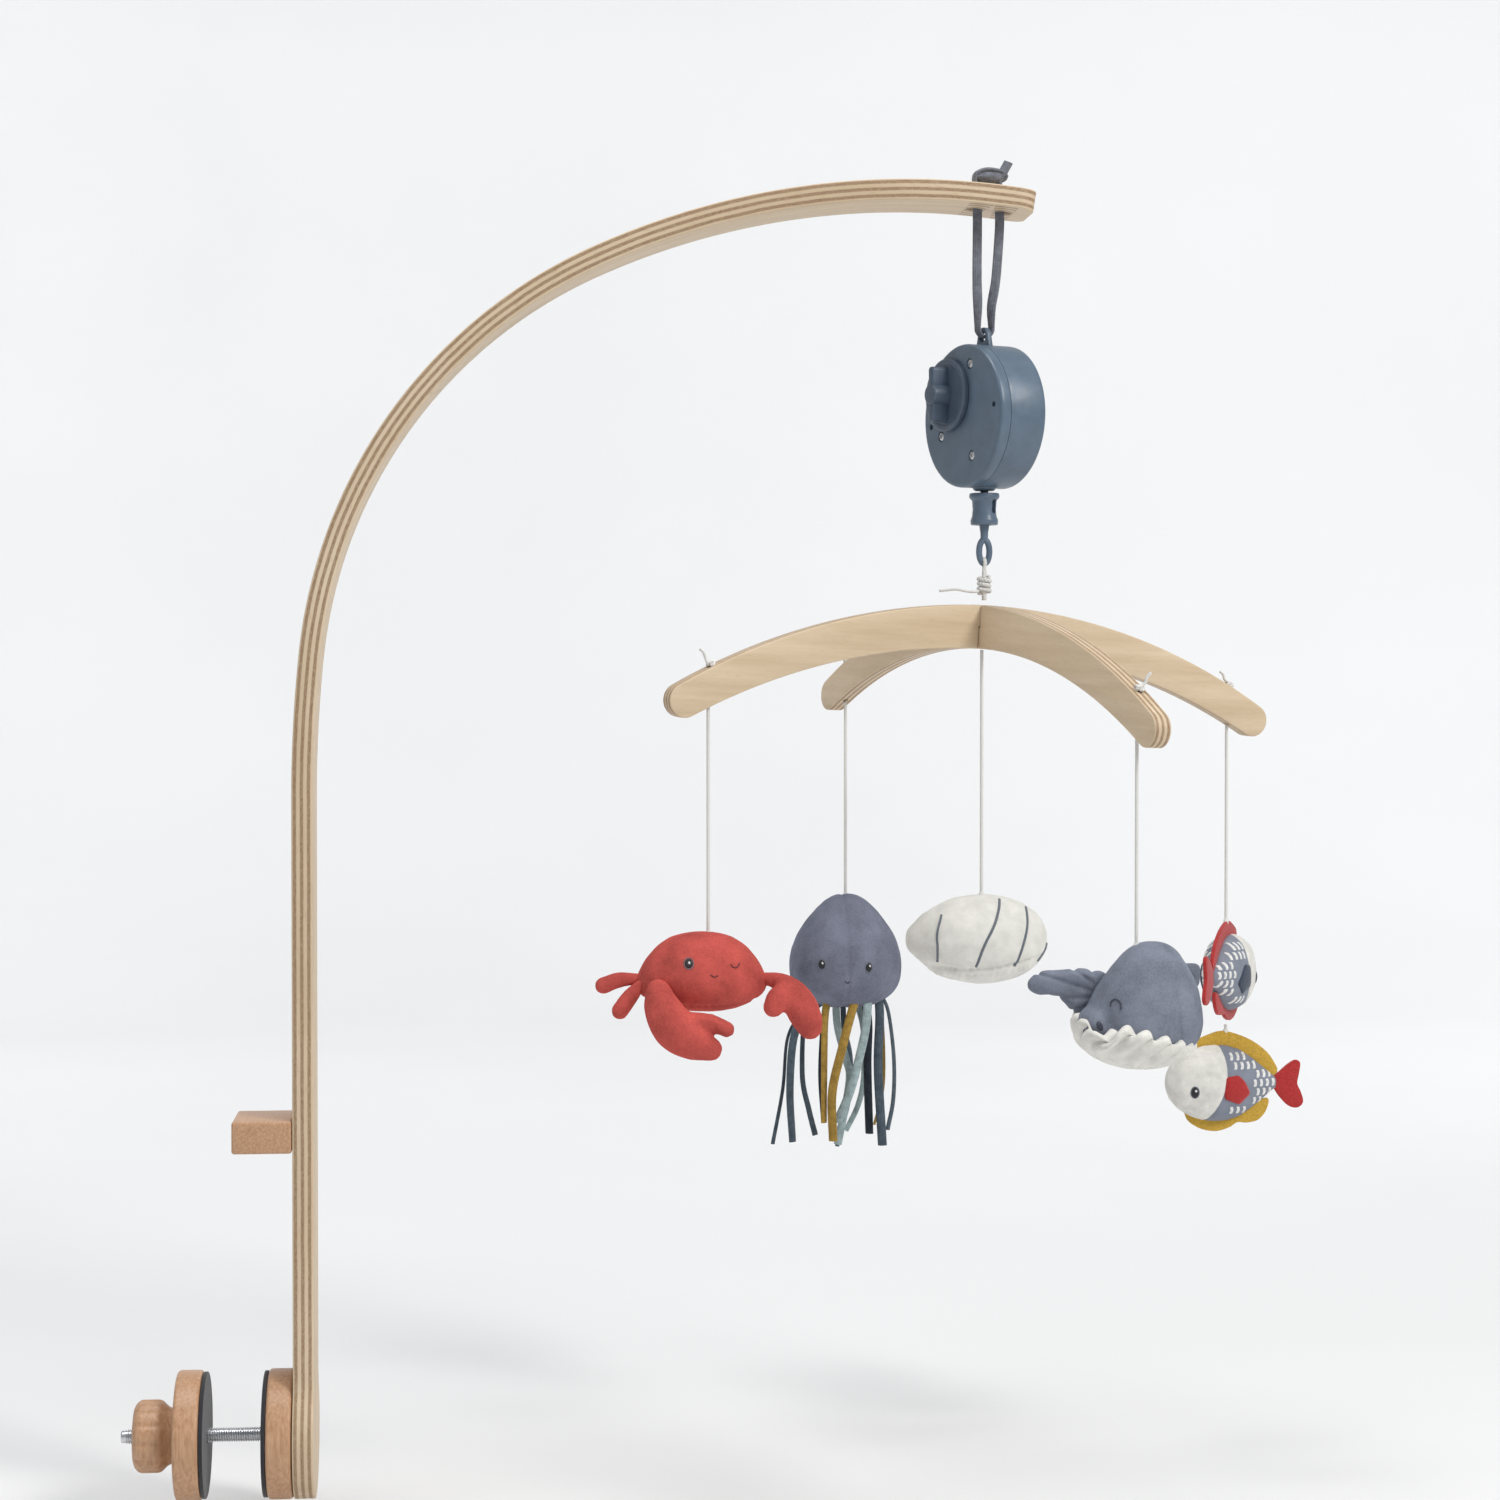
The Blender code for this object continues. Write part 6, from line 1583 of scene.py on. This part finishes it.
def make_fish(name, body, string_node, turn, fin_look, side_fin):
    """A fish that looks towards its own -X, then turns with its string; the fins stand in its XZ plane."""
    foot = string_ends(string_node)[1]
    centre = foot - UP * FISH_HANG * MM
    place = Matrix.Translation(centre) @ turned(turn - 180, "Z")
    lie = Matrix.Translation((-35.8 * MM, 0, 0)) @ Matrix.Diagonal((1, 0.56, 1, 1)) @ turned(90, "Y")
    made = mesh_from(lathe([(r * MM, x * MM) for x, r in FISH_PROFILE], lie, 40))
    mesh = plush_mesh([made], 1.8 * MM, 0.8 * MM, 3, dimple=0.2 * MM)

    def face_edge(p):
        """Positive on the face's side of the curved seam behind it."""
        x, z = p[:, 0] / MM, p[:, 2] / MM
        return (-2.0 - 0.0135 * (z - 7) ** 2 - x) * MM

    groove(mesh, lambda p: p[:, 1], 0.9 * MM, 0.6 * MM)
    groove(mesh, face_edge, 0.8 * MM, 0.5 * MM)
    side = np.clip(0.5 + face_edge(points_of(mesh)) / (6 * MM), 0, 1)
    store(mesh, "patch", side)
    tree = tree_of(mesh)
    marks, fins, eyes = [], [], []
    for way in (1, -1):
        view = facing(Vector(), AHEAD * way)
        for row in range(-4, 5):
            for column in range(9):
                x = -1.0 + column * 3.9 + (row % 2) * 1.9
                z = row * 5.0 + 0.6
                edge = x + 2.0 + 0.0135 * (z - 7) ** 2
                room = 0.9 * np.interp(x + 35.8, *zip(*FISH_PROFILE)) - 1.2 - abs(z)
                if room < 0 or edge < 2.4 or (-12.5 < z < 7 and x < 13):
                    continue
                marks.append(patch(tree, view, [(x * MM * way + u, z * MM + v) for u, v in dash()],
                                   0.4 * MM, 2, 0.2 * MM))
        fins.append(patch(tree, view, [(u * way * MM, v * MM) for u, v in SIDE_FIN], 1.1 * MM, 5, 0.2 * MM))
        eyes.append((view, -20.3 * way, -4.0))
    for label, meshes, look in (("scales", marks, "white_thread"), ("side_fins", fins, side_fin)):
        sewn = joined(*meshes)
        sewn.transform(place)
        new_piece(f"{name}_{label}", sewn, look, body, (), 60)
    for index, (view, x, z) in enumerate(eyes, 1):
        for label, outline, height, look in (
            ("ring", ellipse(x, z, 2.6, 3.6), 0.3 * MM, "grey_thread"),
            ("dark", ellipse(x, z, 2.0, 3.0), 0.6 * MM, "black_thread"),
            ("glint", ellipse(x + 0.5, z + 0.9, 0.75, 0.9, 20, 14), 0.85 * MM, "white_thread"),
        ):
            eye = patch(tree, view, outline, height, 3, 0.2 * MM)
            eye.transform(place)
            new_piece(f"{name}_eye_{index}_{label}", eye, look, body, (), 60)
    mesh.transform(place)
    plush(f"{name}_plush", mesh, "fish", body, [f"{name}_body"])

    shapes = {"back_fin": (BACK_FIN, fin_look), "belly_fin": (BELLY_FIN, fin_look),
              "tail": (FISH_TAIL, "red_felt")}
    for label, (knots, look) in shapes.items():
        mesh = mesh_from(slab(smooth_outline(knots, 1.2), -1.1 * MM, 1.1 * MM, place @ UPRIGHT, 0.5 * MM))
        fin = new_piece(f"{name}_{label}_felt", mesh, look, body, [f"{name}_{label}"], 50)


# ---------------------------------------------------------------- camera, light and stage
def make_camera():
    camera = bpy.data.objects.new("camera", bpy.data.cameras.new("camera"))
    camera.data.lens, camera.data.sensor_width = 72, 36
    camera.location = (0.1134, -1.602, 0.2404)
    camera.rotation_euler = (math.radians(90 - 1.065), 0, math.radians(-5.18))
    bpy.context.scene.collection.objects.link(camera)
    bpy.context.scene.camera = camera


def area_light(name, place, aim, size, power, colour=(1, 1, 1)):
    light = bpy.data.objects.new(name, bpy.data.lights.new(name, "AREA"))
    light.data.shape, light.data.size, light.data.energy, light.data.color = "DISK", size, power, colour
    light.location = place
    light.rotation_euler = (Vector(aim) - Vector(place)).to_track_quat("-Z", "Y").to_euler()
    bpy.context.scene.collection.objects.link(light)


def make_stage():
    floor_z, front_y, bend_y, bend, top_z, half_width = CAD_BOX[0].z - 14 * MM, -6.0, 2.4, 1.6, 8.0, 9
    section = [(front_y, floor_z), (bend_y, floor_z)]  # a floor that bends up into a backdrop
    for k in range(1, 25):
        a = math.pi / 2 * k / 24
        section.append((bend_y + bend * math.sin(a), floor_z + bend * (1 - math.cos(a))))
    section.append((bend_y + bend, top_z))
    made = bmesh.new()
    rows = [[made.verts.new((x, y, z)) for x in (-half_width, half_width)] for y, z in section]
    for low, high in zip(rows, rows[1:]):
        made.faces.new((low[0], low[1], high[1], high[0]))
    mesh = bpy.data.meshes.new("stage")
    made.to_mesh(mesh)
    made.free()
    mesh.shade_smooth()
    look = Look("stage", Roughness=0.95, Specular_IOR_Level=0.1)
    tone = look.ramp(look.noise(look.here(), 2.0, 2), (0.3, grey(0.84)), (0.7, grey(0.86)))
    mesh.materials.append(look.finish(Base_Color=tone))
    stage = bpy.data.objects.new("stage", mesh)
    bpy.context.scene.collection.objects.link(stage)

    world = bpy.data.worlds.new("studio")
    world.use_nodes = True
    sky = world.node_tree.nodes["Background"].inputs
    sky["Color"].default_value, sky["Strength"].default_value = (0.93, 0.96, 1.0, 1), 0.42
    bpy.context.scene.world = world
    bpy.context.scene.view_settings.view_transform = "Standard"
    aim = (0.2, 0, 0.25)
    area_light("key", (1.9, -1.8, 1.9), aim, 0.9, 46, (1.0, 0.98, 0.95))
    area_light("top", (-0.1, -0.3, 2.6), aim, 1.4, 34)
    area_light("backdrop_left", (-1.9, 1.3, 1.6), (-1.4, 4.0, 0.7), 1.6, 30)
    area_light("backdrop_right", (2.3, 1.3, 1.6), (1.8, 4.0, 0.7), 1.6, 30)


make_camera()
make_strings()
make_strap()
make_mast()
make_cross()
make_rail_block()
make_discs()
make_knob()
make_bolt()
make_case()
make_key()
make_swivel()
make_hanging_cord()
dress_movement()
make_crab()
make_jellyfish()
make_shell()
make_whale()
make_fish("upper_fish", "upper_fish", "fish_string", 60.0, "red_felt", "slate_felt")
make_fish("lower_fish", "lower_fish", "fish_link_string", 180.0, "mustard_felt", "red_felt")
make_stage()

bpy.context.view_layer.update()
